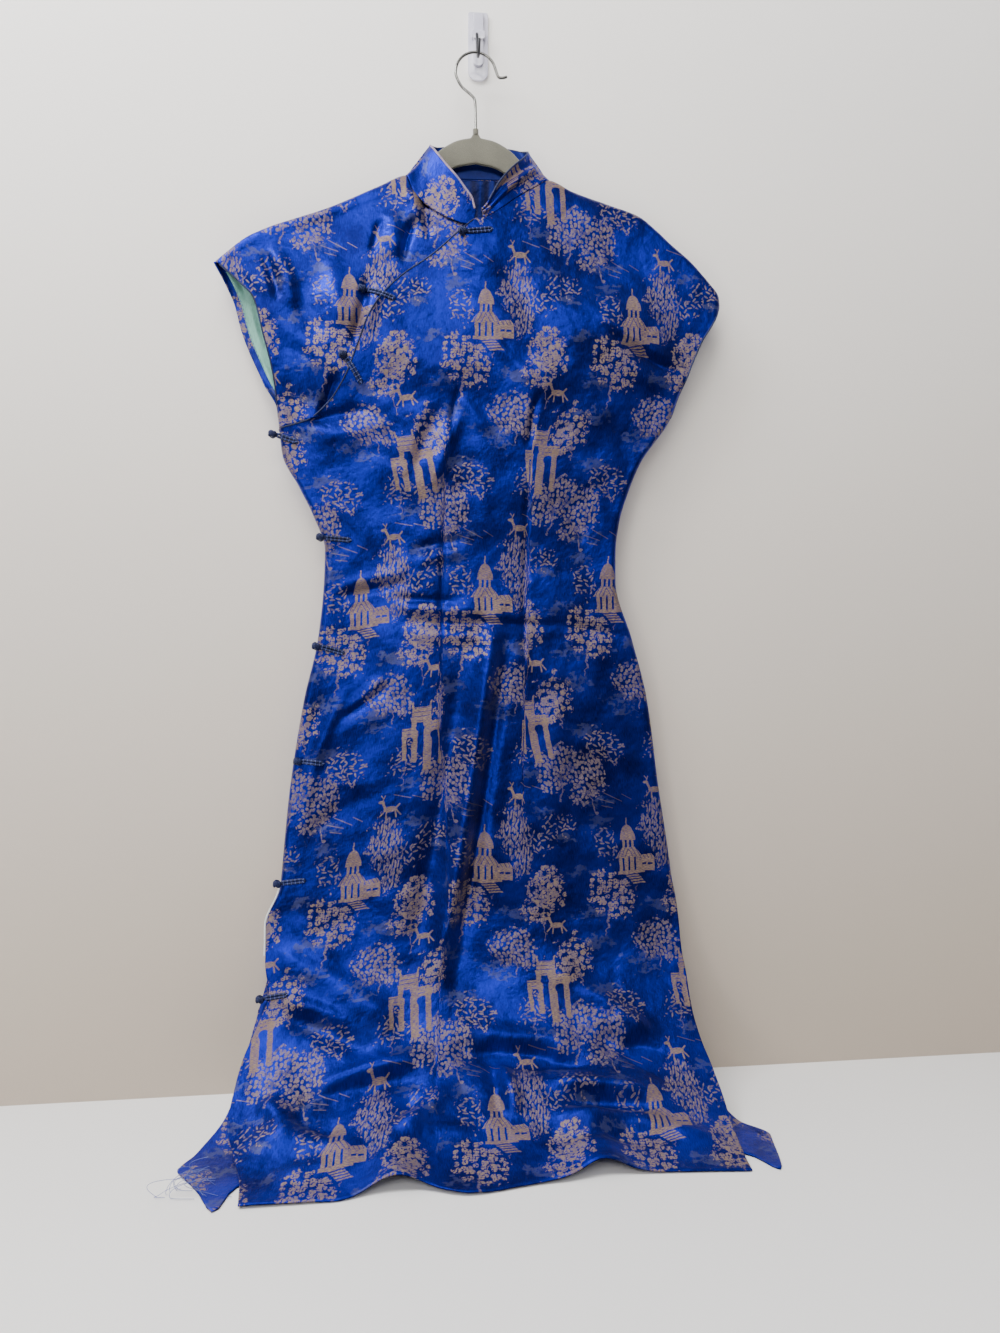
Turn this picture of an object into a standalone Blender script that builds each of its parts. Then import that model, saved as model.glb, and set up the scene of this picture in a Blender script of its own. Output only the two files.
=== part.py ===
"""A cheongsam with short cap sleeves, hung on a thin hanger.

The hanger's wire hangs from a small wall hook, and the skirt's hem reaches a table
1.15 m below it, where the cloth bends forward.

Frame: metres, +Z up, +X to the viewer's right (the wearer's left side), +Y into the
wall. The origin is the centre of the wall hook plate's flat back, on the wall.

Cloth places are written as x, the distance across, and s, the distance down along the
cloth from the origin's height. The tables below are in millimetres.
"""
import math

import bmesh
import bpy
import numpy as np
from mathutils import Vector
from mathutils.bvhtree import BVHTree

MM = 0.001

# Driving sizes, in metres
TABLE_Z = -1.1526
MID_Y = -0.0240
WALL = 0.0016
SEAM_GAP = 0.0003
FROG_GAP = 0.00035
ROLL = 0.0060
EDGE_RISE = 0.0068
SLEEVE_RISE = 0.0020
CROWN_WIDTH = 0.170
CROWN_DROP = 0.180
NECK_LEFT_X = -0.080
NECK_RIGHT_X = 0.075
NECK_EASE = 0.014
NECK_X = -0.003
NECK_S = 0.200
NECK_SWELL = 0.0110
NECK_SPREAD = 0.045
ARM_LEFT_S = 0.262
ARM_LEFT_LENGTH = 0.146
ARM_RIGHT_S = 0.272
ARM_RIGHT_LENGTH = 0.120
SLIT_S = 0.905
SLIT_EASE = 0.050
FLAT_FROM_S = 0.950
FLAT_EASE = 0.220
FOLD_EDGE = 0.020
ARMPIT_S = 0.436
CLOSING_X = -0.008
CLOSING_END_X = -0.215
SLEEVE_LEFT_X = -0.281
SLEEVE_LEFT_S = 0.258
SLEEVE_RIGHT_X = 0.266
SLEEVE_RIGHT_S = 0.270
FRONT_BEND_S = 0.930
FRONT_BEND_RADIUS = 0.2230
BACK_BEND_S = 1.020
BACK_BEND_RADIUS = -TABLE_Z - WALL / 2 - BACK_BEND_S
UNDERLAP_RECESS = 0.0024
UNDERLAP_WIDTH = 0.009
HANGER_Y = -0.0240
HANGER_X = -0.0050
HANGER_TILT = math.radians(2.0)
HANGER_THICK = 0.0044
HANGER_TOP_Z = -0.1124
WIRE_RADIUS = 0.0015
LOOP_RADIUS = 0.0218
LOOP_Z = -0.0436
PLATE_WIDTH = 0.0220
PLATE_TOP = 0.0345
PLATE_BOTTOM = -0.0390
PLATE_THICK = 0.0040


class Table:
    """A short table with named columns, read smoothly between its rows."""

    def __init__(self, columns, *rows):
        self.names = columns.split()
        self.data = np.array(rows, dtype=float) * MM

    def column(self, name):
        return self.data[:, self.names.index(name)]

    def read(self, name, at):
        """Monotone cubic reading of one column, at values of the first column."""
        xs = self.data[:, 0]
        ys = self.column(name)
        at = np.clip(np.asarray(at, dtype=float), xs[0], xs[-1])
        run = np.diff(xs)
        rise = np.diff(ys) / run
        slope = np.zeros_like(ys)
        same_way = rise[:-1] * rise[1:] > 0
        total = np.where(same_way, rise[:-1] + rise[1:], 1.0)
        slope[1:-1] = np.where(same_way, 2 * rise[:-1] * rise[1:] / total, 0.0)
        slope[0], slope[-1] = rise[0], rise[-1]
        i = np.clip(np.searchsorted(xs, at) - 1, 0, len(run) - 1)
        t = (at - xs[i]) / run[i]
        start = (1 + 2 * t) * (1 - t) ** 2 * ys[i] + t * (1 - t) ** 2 * run[i] * slope[i]
        end = t * t * (3 - 2 * t) * ys[i + 1] + t * t * (t - 1) * run[i] * slope[i + 1]
        return start + end


# The top outline: both shoulder seams, with the back neck line between them
TOP = Table("x s",
            (-280, 258), (-242, 228), (-160, 195.5), (-108, 171), (-80, 158.5), (-40, 156),
            (0, 155), (45, 154), (75, 155.5), (100, 166), (142, 178.5), (174, 188.5),
            (193, 202), (211, 217.5), (233, 235), (266, 270))

# The outline of the sleeves and the side seams, then of the slit edges, down to the hem
SIDES = Table("s front_left back_left front_right back_right",
              (258, -279, -281, 265, 265), (280, -254, -269, 266.5, 266.5),
              (297, -239, -262, 261, 261), (328, -231, -254, 243, 243),
              (380, -219, -232, 222, 222), (410, -216, -216, 211, 211),
              (458, -211, -211, 178, 178), (491, -194, -194, 164, 164),
              (524, -178, -178, 154, 154), (557, -167, -167, 150, 150),
              (589, -168, -168, 150, 150), (654, -175, -175, 169, 169),
              (719, -190, -190, 186, 186), (819, -206, -206, 200, 200),
              (919, -216, -216, 215, 215), (960, -231, -221, 221, 218),
              (1000, -231, -226, 223, 223), (1030, -227, -234, 226, 230),
              (1070, -239, -245, 227, 236), (1100, -250, -252, 231, 238),
              (1130, -255, -258, 236, 240), (1160, -258, -266, 238, 243),
              (1200, -247, -286, 237, 256), (1232, -238, -300, 236, 279),
              (1302, -233, -300, 235, 279))

# The neck line under the collar: the main front's part, and the underlap's part
FRONT_NECK = Table("x s", (-8, 208), (2, 206), (19, 196), (38, 181), (59, 167), (75, 155.5))
UNDERLAP_NECK = Table("x s",
                      (-80, 158.5), (-73, 178), (-55, 197), (-34, 209), (-18, 214), (-8, 212))

# The slanted closing edge, from the front neck to the side seam below the arm
PLACKET = Table("x s",
                (-215, 431), (-186, 422), (-163, 403), (-145, 377), (-132, 345),
                (-119, 313), (-100, 284), (-82, 267), (-56, 249), (-29, 226), (-8, 208))

# How far the front and the back stand off the middle plane, besides the edge's rise
DEPTH = Table("s front back",
              (150, 7, 3), (250, 12, 7), (350, 15, 7), (450, 14, 7), (560, 11, 5),
              (750, 14, 7), (950, 12, 7), (1100, 5, 3), (1200, 0, 0), (1302, 0, 0))

# Where each hem ends, by the place across
FRONT_HEM = Table("x s",
                  (-260, 1262), (-233, 1262), (-155, 1262), (-107, 1252), (-80, 1252),
                  (-31, 1266), (35, 1256), (60, 1254), (97, 1248), (141, 1250), (240, 1258))
BACK_HEM = Table("x s",
                 (-300, 1232), (-276, 1268), (-255, 1304), (-243, 1268), (-225, 1258),
                 (0, 1254), (225, 1258), (246, 1270), (263, 1296), (279, 1232))

# The largest folds: a ridge, or a trough where the height is negative
FRONT_FOLDS = Table("x0 s0 x1 s1 bow width height",
                    (28, 590, -52, 1075, -8, 15, 8),
                    (-232, 985, -90, 1075, 6, 17, 9),
                    (-200, 1165, -60, 1125, 6, 14, -9),
                    (-240, 1180, -120, 1205, 0, 15, 7),
                    (70, 1010, 165, 1110, 0, 16, 8),
                    (-45, 1100, 75, 1112, -5, 13, -9),
                    (-30, 1155, 190, 1150, 8, 14, 7),
                    (110, 1090, 205, 1135, 0, 12, -7),
                    (-96, 1150, -98, 1320, 0, 25, 13),
                    (92, 1165, 98, 1320, 0, 25, 13),
                    (-25, 330, -70, 440, 0, 18, 3),
                    (60, 350, 45, 450, 0, 18, 3))
BACK_FOLDS = Table("x0 s0 x1 s1 bow width height",
                   (-60, 620, -95, 1040, 8, 18, 5),
                   (70, 640, 110, 1030, -6, 18, 5),
                   (0, 760, 10, 1060, 0, 20, -4))

# The stand collar, from its left front end round the back to its right front end
COLLAR = Table("along base_x top_x top_y top_s",
               (0, -9, -5, -46, 192), (70, -27, -14, -48, 183), (150, -46, -26, -47, 167),
               (240, -63, -40, -42, 149), (330, -76, -50, -34, 133), (400, -80, -54, -24, 124),
               (470, -66, -44, -11, 120), (560, -36, -26, -8.5, 117), (640, 0, 0, -8, 116),
               (720, 40, 27, -8.5, 116), (800, 64, 44, -11, 119), (860, 75, 52, -24, 125),
               (900, 68, 48, -34, 134), (940, 50, 33, -43, 150), (970, 28, 16, -47, 170),
               (1000, 1, -1, -47, 192))

# Knotted frog buttons: the knot's place and the far end of its bar
FROGS = Table("knot_x knot_s end_x end_s",
              (-221, 437, -196, 445), (-172, 545, -140, 548), (-177, 660, -148, 668),
              (-197, 783, -170, 786), (-219, 914, -190, 911), (-235, 1036, -207, 1033),
              (-127, 282, -93, 296), (-147, 352, -128, 384), (-22, 224, 10, 219))
FROG_NAMES = ("frog_side_1", "frog_side_2", "frog_side_3", "frog_side_4", "frog_side_5",
              "frog_side_6", "frog_slant_1", "frog_slant_2", "frog_collar")

# The hanger's top edge and its height, by the distance from its middle
HANGER_CURVE = Table("x drop tall",
                     (0, 0, 28), (18, 3.4, 28), (36, 12.8, 28), (60, 37, 26), (84, 56, 25),
                     (103, 63, 25), (150, 78, 24), (180, 89, 23), (213, 104, 21), (222, 110, 15))


def smooth(t):
    """Ease from 0 to 1."""
    t = np.clip(t, 0.0, 1.0)
    return t * t * (3 - 2 * t)


def bump(t):
    """0 at both ends of 0 to 1, and 1 over most of the way between."""
    return smooth(t * 4) * smooth((1 - t) * 4)


def rolled(distance):
    """The quarter-round profile of a folded or seamed edge."""
    q = np.clip(distance / ROLL, 0.0, 1.0)
    return np.sqrt(q * (2 - q))


def folds(table, x, s):
    """The sum of a fold table's soft ridges and troughs at the cloth places."""
    total = np.zeros_like(x)
    for x0, s0, x1, s1, bow, width, height in table.data:
        run_x, run_s = x1 - x0, s1 - s0
        length = math.hypot(run_x, run_s)
        t = ((x - x0) * run_x + (s - s0) * run_s) / length ** 2
        aside = ((x - x0) * run_s - (s - s0) * run_x) / length
        aside = aside - bow * 4 * t * (1 - t)
        ends = smooth(t / 0.2) * smooth((1 - t) / 0.2)
        total += height * ends * np.exp(-(aside / width) ** 2)
    return total


def height(x, s, side):
    """How far the cloth stands off its path, for the front (side 1) or the back (-1)."""
    left = np.minimum(SIDES.read("front_left", s), SIDES.read("back_left", s))
    right = np.maximum(SIDES.read("front_right", s), SIDES.read("back_right", s))
    from_left = np.maximum(x - left, 0)
    from_right = np.maximum(right - x, 0)
    from_top = np.maximum(s - TOP.read("s", x), 0) * 0.9
    slit = smooth((s - SLIT_S) / SLIT_EASE)
    open_left = np.maximum(bump((s - ARM_LEFT_S) / ARM_LEFT_LENGTH), slit)
    open_right = np.maximum(bump((s - ARM_RIGHT_S) / ARM_RIGHT_LENGTH), slit)
    open_neck = smooth((x - NECK_LEFT_X) / NECK_EASE) * smooth((NECK_RIGHT_X - x) / NECK_EASE)
    rounding = open_neck + (1 - open_neck) * rolled(from_top)
    rounding = rounding * (open_left + (1 - open_left) * rolled(from_left))
    rounding = rounding * (open_right + (1 - open_right) * rolled(from_right))
    crown = smooth(from_left / CROWN_WIDTH) * smooth(from_right / CROWN_WIDTH)
    crown = crown * smooth(0.15 + from_top / CROWN_DROP)
    rise = EDGE_RISE + SLEEVE_RISE * (open_left + open_right) * (1 - slit)
    rise = rise * (1 - smooth((s - FLAT_FROM_S) / FLAT_EASE))
    name = "front" if side > 0 else "back"
    total = rise + DEPTH.read(name, s) * crown
    if side > 0:
        from_neck = (x - NECK_X) ** 2 + (s - NECK_S) ** 2
        total = total + NECK_SWELL * np.exp(-from_neck / (2 * NECK_SPREAD ** 2))
    table = FRONT_FOLDS if side > 0 else BACK_FOLDS
    inside = smooth(np.minimum(from_left, from_right) / FOLD_EDGE)
    inside = np.maximum(inside, slit)
    return rounding * total + folds(table, x, s) * inside


def path(s, side):
    """The cloth's way down and forward: y, z and the turn from straight down."""
    if side > 0:
        bend, radius = FRONT_BEND_S, FRONT_BEND_RADIUS
        most = math.asin((-TABLE_Z - WALL / 2 - bend) / radius)
    else:
        bend, radius = BACK_BEND_S, BACK_BEND_RADIUS
        most = math.pi / 2
    turn = np.clip((s - bend) / radius, 0.0, most)
    beyond = np.maximum(s - bend - radius * most, 0.0)
    y = MID_Y - radius * (1 - np.cos(turn)) - beyond * math.sin(most)
    z = -np.minimum(s, bend) - radius * np.sin(turn)
    return y, z, turn


def cloth(x, s, side, recess=0.0):
    """Points of the cloth's middle surface. A recess lies back from it, off the edges."""
    y, z, turn = path(s, side)
    lift = side * np.maximum(height(x, s, side) - recess, 0) + side * SEAM_GAP / 2
    y = y - lift * np.cos(turn)
    z = z + lift * np.sin(turn)
    if side > 0:
        z = np.maximum(z, TABLE_Z + WALL / 2)
    return np.stack([x, y, z], axis=-1)


def along(points, count):
    """Evenly spaced places along a smooth line through the points given."""
    points = np.array(points, dtype=float)
    steps = np.linalg.norm(np.diff(points, axis=0), axis=1)
    at = np.concatenate([[0], np.cumsum(steps)])
    where = np.asarray(count, dtype=float) * at[-1]
    return np.stack([np.interp(where, at, points[:, k]) for k in range(points.shape[1])], axis=-1)


def read_line(table, start, end, count=40):
    """Points along a table's x and s columns, between two places across."""
    xs = np.linspace(start, end, count)
    return np.stack([xs, table.read("s", xs)], axis=-1)


def side_line(name, start, end, count=40):
    """Points down one of the outlines."""
    ss = np.linspace(start, end, count)
    return np.stack([SIDES.read(name, ss), ss], axis=-1)


def spread(count, near, *extra):
    """Even places from 0 to 1, with more just inside both ends and at the extra ones."""
    even = np.linspace(0, 1, count + 1)
    ends = np.array(near)
    extra = np.array(extra, dtype=float)
    if len(extra):
        even = even[np.min(np.abs(even[:, None] - extra[None]), axis=1) > 0.4 / count]
    return np.sort(np.concatenate([even, ends, 1 - ends, extra]))


def clear_scene():
    """Start from an empty scene."""
    for thing in list(bpy.data.objects):
        bpy.data.objects.remove(thing, do_unlink=True)


def material(name, colour, roughness, metallic=0.0):
    """A plain Principled finish."""
    made = bpy.data.materials.new(name)
    made.use_nodes = True
    shader = made.node_tree.nodes["Principled BSDF"]
    shader.inputs["Base Color"].default_value = (*colour, 1.0)
    shader.inputs["Roughness"].default_value = roughness
    shader.inputs["Metallic"].default_value = metallic
    made.diffuse_color = (*colour, 1.0)
    return made


def add_mesh(name, points, faces, finish, sharp=40.0):
    """Put a closed mesh in the scene under its own name."""
    mesh = bpy.data.meshes.new(name)
    mesh.from_pydata([tuple(p) for p in points], [], faces)
    tidy = bmesh.new()
    tidy.from_mesh(mesh)
    bmesh.ops.recalc_face_normals(tidy, faces=tidy.faces)
    if tidy.calc_volume(signed=True) < 0:
        bmesh.ops.reverse_faces(tidy, faces=tidy.faces)
    tidy.to_mesh(mesh)
    tidy.free()
    mesh.shade_smooth()
    mesh.set_sharp_from_angle(angle=math.radians(sharp))
    mesh.materials.append(finish)
    made = bpy.data.objects.new(name, mesh)
    bpy.context.scene.collection.objects.link(made)
    return made


def grid_normals(grid):
    """The unit normal at each point of a grid, from its neighbours."""
    across = np.gradient(grid, axis=1)
    down = np.gradient(grid, axis=0)
    normal = np.cross(across, down)
    normal = normal / np.linalg.norm(normal, axis=-1, keepdims=True)
    framed = np.pad(normal, ((1, 1), (1, 1), (0, 0)), mode="edge")
    around = framed[:-2, 1:-1] + framed[2:, 1:-1] + framed[1:-1, :-2] + framed[1:-1, 2:]
    normal = 2 * normal + around
    return normal / np.linalg.norm(normal, axis=-1, keepdims=True)


def wall_mesh(name, grid, normal, thickness, finish, keep=None):
    """A closed wall of even thickness round a grid of middle points."""
    rows, columns = grid.shape[:2]
    outer = grid + normal * thickness / 2
    inner = grid - normal * thickness / 2
    if keep is not None:
        outer[..., 1] = keep(outer[..., 1])
        inner[..., 1] = keep(inner[..., 1])
    points = np.concatenate([outer.reshape(-1, 3), inner.reshape(-1, 3)])
    back = rows * columns
    faces = []
    for r in range(rows - 1):
        for c in range(columns - 1):
            a = r * columns + c
            b = a + columns
            faces.append((a, a + 1, b + 1, b))
            faces.append((back + a, back + b, back + b + 1, back + a + 1))
    for c in range(columns - 1):
        last = (rows - 1) * columns + c
        faces.append((c + 1, c, back + c, back + c + 1))
        faces.append((last, last + 1, back + last + 1, back + last))
    for r in range(rows - 1):
        a = r * columns
        b = a + columns - 1
        faces.append((a, a + columns, back + a + columns, back + a))
        faces.append((b + columns, b, back + b, back + b + columns))
    return add_mesh(name, points, faces, finish)


def seam_normals(grid, places, normal):
    """Turn the normals of seamed edge points outward in the garment's own plane."""
    x, s = places[..., 0], places[..., 1]
    flat = np.abs(grid[..., 1] - MID_Y) < SEAM_GAP
    top_edge = np.abs(s - TOP.read("s", x)) < 0.0008
    step = 0.004
    slope = (TOP.read("s", x + step) - TOP.read("s", x - step)) / (2 * step)
    up = np.stack([slope, np.zeros_like(x), np.ones_like(x)], axis=-1)
    lean = (SIDES.read("back_left", s + step) - SIDES.read("back_left", s - step)) / (2 * step)
    lean_right = (SIDES.read("back_right", s + step) - SIDES.read("back_right", s - step)) / (2 * step)
    to_left = np.stack([-np.ones_like(x), np.zeros_like(x), -lean], axis=-1)
    to_right = np.stack([np.ones_like(x), np.zeros_like(x), lean_right], axis=-1)
    sideways = np.where((x < 0)[..., None], to_left, to_right)
    outward = np.where(top_edge[..., None], up, sideways)
    outward = outward / np.linalg.norm(outward, axis=-1, keepdims=True)
    turned = normal.copy()
    turned[flat] = outward[flat]
    return turned


def panel(name, places, side, finish, recess=None):
    """One cloth panel from its grid of cloth places."""
    depth = 0.0 if recess is None else recess(places[..., 0], places[..., 1])
    grid = cloth(places[..., 0], places[..., 1], side, depth)
    normal = grid_normals(grid)
    outward = np.sign(np.mean(normal[..., 1])) * -side
    normal = seam_normals(grid, places, normal * outward)
    hanging = places[..., 1] < FRONT_BEND_S
    limit = MID_Y - side * SEAM_GAP / 2

    def keep(y):
        own_side = np.minimum(y, limit) if side > 0 else np.maximum(y, limit)
        return np.where(hanging, own_side, y)

    return wall_mesh(name, grid, normal, WALL, finish, keep)


def body_rows(top_row, names, hem, row_places, corner_s):
    """Rows of places from a top row down to the hem, kept between two outlines."""
    left_name, right_name = names
    share = (top_row[:, 0] - top_row[0, 0]) / (top_row[-1, 0] - top_row[0, 0])

    def across(s):
        return SIDES.read(left_name, s) * (1 - share) + SIDES.read(right_name, s) * share

    end = hem.read("s", across(np.full_like(share, corner_s)))
    rows = []
    for v in row_places:
        s = top_row[:, 1] + v * (end - top_row[:, 1])
        rows.append(np.stack([across(s), s], axis=-1))
    return rows


def row_steps(top_s, bottom_s, bend_s, wide, fine):
    """Row places from 0 to 1: wide steps while the cloth hangs, fine ones where it bends."""
    hang = np.arange(top_s, bend_s, wide)
    bent = np.linspace(bend_s, bottom_s, int(round((bottom_s - bend_s) / fine)) + 1)
    return (np.concatenate([hang, bent])[1:] - top_s) / (bottom_s - top_s)


def make_front(finish):
    """The main front: centre, wearer's left side, and the whole front skirt."""
    corner = 0.32
    columns = spread(20, (0.004, 0.0145), corner - 0.035, corner)
    yoke_rows = spread(10, (0.009, 0.030))
    neck_part = columns <= corner
    neck = along(read_line(FRONT_NECK, CLOSING_X, NECK_RIGHT_X), columns[neck_part] / corner)
    rest = (columns[~neck_part] - corner) / (1 - corner)
    shoulder = along(read_line(TOP, NECK_RIGHT_X, SLEEVE_RIGHT_X), rest)
    top = np.concatenate([neck, shoulder])
    right = along(side_line("front_right", SLEEVE_RIGHT_S, ARMPIT_S), yoke_rows)
    left = along(read_line(PLACKET, CLOSING_X, CLOSING_END_X), yoke_rows)
    bottom = left[-1] + columns[:, None] * (right[-1] - left[-1])
    yoke = patch_at(top, right, bottom, left, columns, yoke_rows)
    hem_s = 1.258
    steps = row_steps(ARMPIT_S, hem_s, FRONT_BEND_S, 0.033, 0.0137)
    skirt = body_rows(yoke[-1], ("front_left", "front_right"), FRONT_HEM, steps, hem_s)
    places = np.concatenate([yoke, np.array(skirt)])
    return panel("front", places, 1, finish)


def patch_at(top, right, bottom, left, columns, rows):
    """Fill in the grid between four edges, at uneven steps across and down."""
    u = columns[None, :, None]
    v = rows[:, None, None]
    ruled = (1 - v) * top[None] + v * bottom[None] + (1 - u) * left[:, None] + u * right[:, None]
    level = (1 - u) * (1 - v) * top[0] + u * (1 - v) * top[-1]
    return ruled - level - (1 - u) * v * bottom[0] - u * v * bottom[-1]


def make_back(finish):
    """The whole back, cut in one with its sleeves."""
    first, second = 0.36, 0.64
    columns = spread(18, (0.004, 0.0145), first, first + 0.02, second - 0.02, second)
    yoke_rows = spread(7, (0.008, 0.028))
    left_part = columns <= first
    right_part = columns >= second
    middle = ~left_part & ~right_part
    top = np.concatenate([
        along(read_line(TOP, SLEEVE_LEFT_X, NECK_LEFT_X), columns[left_part] / first),
        along(read_line(TOP, NECK_LEFT_X, NECK_RIGHT_X), (columns[middle] - first) / (second - first)),
        along(read_line(TOP, NECK_RIGHT_X, SLEEVE_RIGHT_X),
              (columns[right_part] - second) / (1 - second))])
    left = along(side_line("back_left", SLEEVE_LEFT_S, ARMPIT_S), yoke_rows)
    right = along(side_line("back_right", SLEEVE_RIGHT_S, ARMPIT_S), yoke_rows)
    top[0], top[-1] = left[0], right[0]
    bottom = left[-1] + columns[:, None] * (right[-1] - left[-1])
    yoke = patch_at(top, right, bottom, left, columns, yoke_rows)
    steps = row_steps(ARMPIT_S, 1.258, 0.990, 0.037, 0.016)
    skirt = body_rows(yoke[-1], ("back_left", "back_right"), BACK_HEM, steps, 1.232)
    return panel("back", np.concatenate([yoke, np.array(skirt)]), -1, finish)


def make_underlap(finish):
    """The small inner front under the slanted closing, on the wearer's right."""
    corner = 0.42
    columns = spread(16, (0.007, 0.026), corner - 0.04, corner)
    rows = spread(7, (0.013, 0.045))
    neck_part = columns <= corner
    neck = along(read_line(UNDERLAP_NECK, CLOSING_X, NECK_LEFT_X), columns[neck_part] / corner)
    rest = (columns[~neck_part] - corner) / (1 - corner)
    top = np.concatenate([neck, along(read_line(TOP, NECK_LEFT_X, SLEEVE_LEFT_X), rest)])
    sleeve = along(side_line("front_left", SLEEVE_LEFT_S, ARMPIT_S - 0.0055), rows)
    top[-1] = sleeve[0]
    closing = read_line(PLACKET, CLOSING_X, CLOSING_END_X, 60)
    step = np.gradient(closing, axis=0)
    step = step / np.linalg.norm(step, axis=1, keepdims=True)
    inward = np.stack([step[:, 1], -step[:, 0]], axis=-1)
    tuck = smooth((closing[:, 0] + 0.190) / 0.03) * smooth((0.004 - closing[:, 0]) / 0.03)
    tuck = (UNDERLAP_WIDTH + 0.001) * tuck - 0.001
    closing = closing + inward * tuck[:, None]
    closing[-1] = sleeve[-1]
    closing[0] = top[0]
    turn = 0.77
    right = along(closing, rows * turn)
    bottom = along(closing, turn + (1 - turn) * columns)
    places = patch_at(top, sleeve, bottom, right, columns, rows)
    return panel("underlap", places, 1, finish, underlap_recess)


def underlap_recess(x, s):
    """The underlap lies behind the front's edge, and level with it at its own seams."""
    from_top = smooth((s - TOP.read("s", x)) / 0.02)
    from_side = smooth((x - SIDES.read("front_left", s)) / 0.02)
    return UNDERLAP_RECESS * from_top * from_side


def make_collar(finish):
    """The stand collar: one band, open at the front."""
    left_end, right_end = 0.40, 0.86
    places = np.concatenate([np.linspace(0, 0.36, 13), np.linspace(left_end, right_end, 13),
                             np.linspace(0.89, 1.0, 9)])
    base_x = COLLAR.read("base_x", places)
    on_underlap = places <= left_end
    behind = (places > left_end) & (places < right_end)
    base_s = np.where(on_underlap, UNDERLAP_NECK.read("s", base_x), FRONT_NECK.read("s", base_x))
    base_s = np.where(behind, TOP.read("s", base_x), base_s)
    recess = np.where(on_underlap, underlap_recess(base_x, base_s), 0.0)
    at_front = cloth(base_x, base_s, 1, recess)
    at_back = cloth(base_x, base_s, -1)
    base = np.where(behind[:, None], at_back, at_front)
    top_z = -COLLAR.read("top_s", places)
    top = np.stack([COLLAR.read("top_x", places), COLLAR.read("top_y", places), top_z], axis=-1)
    upward = top - base
    upward = upward / np.linalg.norm(upward, axis=1, keepdims=True)
    near_shoulder = np.exp(-((places - left_end) / 0.03) ** 2)
    near_shoulder = near_shoulder + np.exp(-((places - right_end) / 0.03) ** 2)
    clearance = np.where(behind, 0.0009, 0.0014) + 0.0014 * near_shoulder
    base = base + upward * clearance[:, None]
    rounding = 1 - 0.35 * (np.exp(-(places / 0.03) ** 2) + np.exp(-((1 - places) / 0.02) ** 2))
    share = np.linspace(0, 1, 5)[:, None, None] * rounding[None, :, None]
    swell = np.sin(np.pi * np.linspace(0, 1, 5))[:, None, None] * 0.002
    outward = np.cross(np.gradient(base, axis=0), upward)
    outward = outward / np.linalg.norm(outward, axis=1, keepdims=True)
    grid = base[None] * (1 - share) + top[None] * share + outward[None] * swell
    return wall_mesh("collar", grid, grid_normals(grid), 0.0018, finish)


def make_sleeve_lining(finish):
    """The pale lining that shows inside the open sleeve on the wearer's right."""
    ss = np.linspace(0.272, 0.398, 9)
    widths = np.linspace(0.009, 0.045, 5)
    x = SIDES.read("back_left", ss)[:, None] + widths[None, :]
    s = np.repeat(ss[:, None], len(widths), axis=1)
    grid = cloth(x, s, -1)
    thickness = 0.0010
    grid[..., 1] -= WALL / 2 + SEAM_GAP + thickness / 2 + 0.0005
    return wall_mesh("sleeve_lining", grid, grid_normals(grid), thickness, finish)


def tube(name, points, radii, finish, sides=8):
    """A closed round tube of changing radius through the points given."""
    points = np.array(points)
    forward = np.gradient(points, axis=0)
    forward = forward / np.linalg.norm(forward, axis=1, keepdims=True)
    reference = np.array([0.31, 0.93, 0.19])
    sideways = np.cross(forward, reference)
    sideways = sideways / np.linalg.norm(sideways, axis=1, keepdims=True)
    third = np.cross(forward, sideways)
    turn = np.linspace(0, 2 * math.pi, sides, endpoint=False)
    ring = np.cos(turn)[None, :, None] * sideways[:, None] + np.sin(turn)[None, :, None] * third[:, None]
    shell = points[:, None] + ring * np.asarray(radii)[:, None, None]
    verts = shell.reshape(-1, 3)
    faces = []
    for r in range(len(points) - 1):
        for k in range(sides):
            a = r * sides + k
            b = r * sides + (k + 1) % sides
            faces.append((a, b, b + sides, a + sides))
    faces.append(tuple(range(sides))[::-1])
    faces.append(tuple((len(points) - 1) * sides + k for k in range(sides)))
    return add_mesh(name, verts, faces, finish)


def tree_of(thing):
    """A search tree of an object's triangles."""
    mesh = thing.data
    return BVHTree.FromPolygons([v.co for v in mesh.vertices], [tuple(p.vertices) for p in mesh.polygons])


def seat(thing, carriers, gap):
    """Move a piece along Y until it lies just off what carries it."""
    trees = [tree_of(carrier) for carrier in carriers]
    away = Vector((0.0, 1.0, 0.0))
    nearest = math.inf
    for vertex in thing.data.vertices:
        start = vertex.co - away * 0.05
        hits = [tree.ray_cast(start, away)[0] for tree in trees]
        reached = [hit.y for hit in hits if hit is not None]
        if reached:
            nearest = min(nearest, min(reached) - vertex.co.y)
    for vertex in thing.data.vertices:
        vertex.co.y += nearest - gap


def make_frog(name, row, finish, carriers, gap):
    """A ball knot with its bar of folded cord, lying on the cloth."""
    knot_x, knot_s, end_x, end_s = row
    t = np.concatenate([np.linspace(0, 0.26, 6), np.linspace(0.34, 1.0, 7)])
    x = knot_x + (end_x - knot_x) * t
    s = knot_s + (end_s - knot_s) * t
    ball = 0.0048 * np.sqrt(np.clip(1 - ((t - 0.13) / 0.14) ** 2, 0.05, 1))
    bar = 0.0027 * np.sqrt(np.clip(1 - (np.clip(t - 0.9, 0, 1) / 0.11) ** 2, 0.08, 1))
    radius = np.where(t < 0.26, np.maximum(ball, 0.002), bar)
    edge = SIDES.read("front_left", s)
    deep = cloth(np.maximum(x, edge + ROLL), s, 1)
    off = 0.0050 - 0.0021 * smooth((t - 0.13) / 0.4)
    points = np.stack([x, deep[:, 1] - WALL / 2 - off, deep[:, 2]], axis=-1)
    made = tube(name, points, radius, finish)
    seat(made, carriers, gap)
    return made


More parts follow.
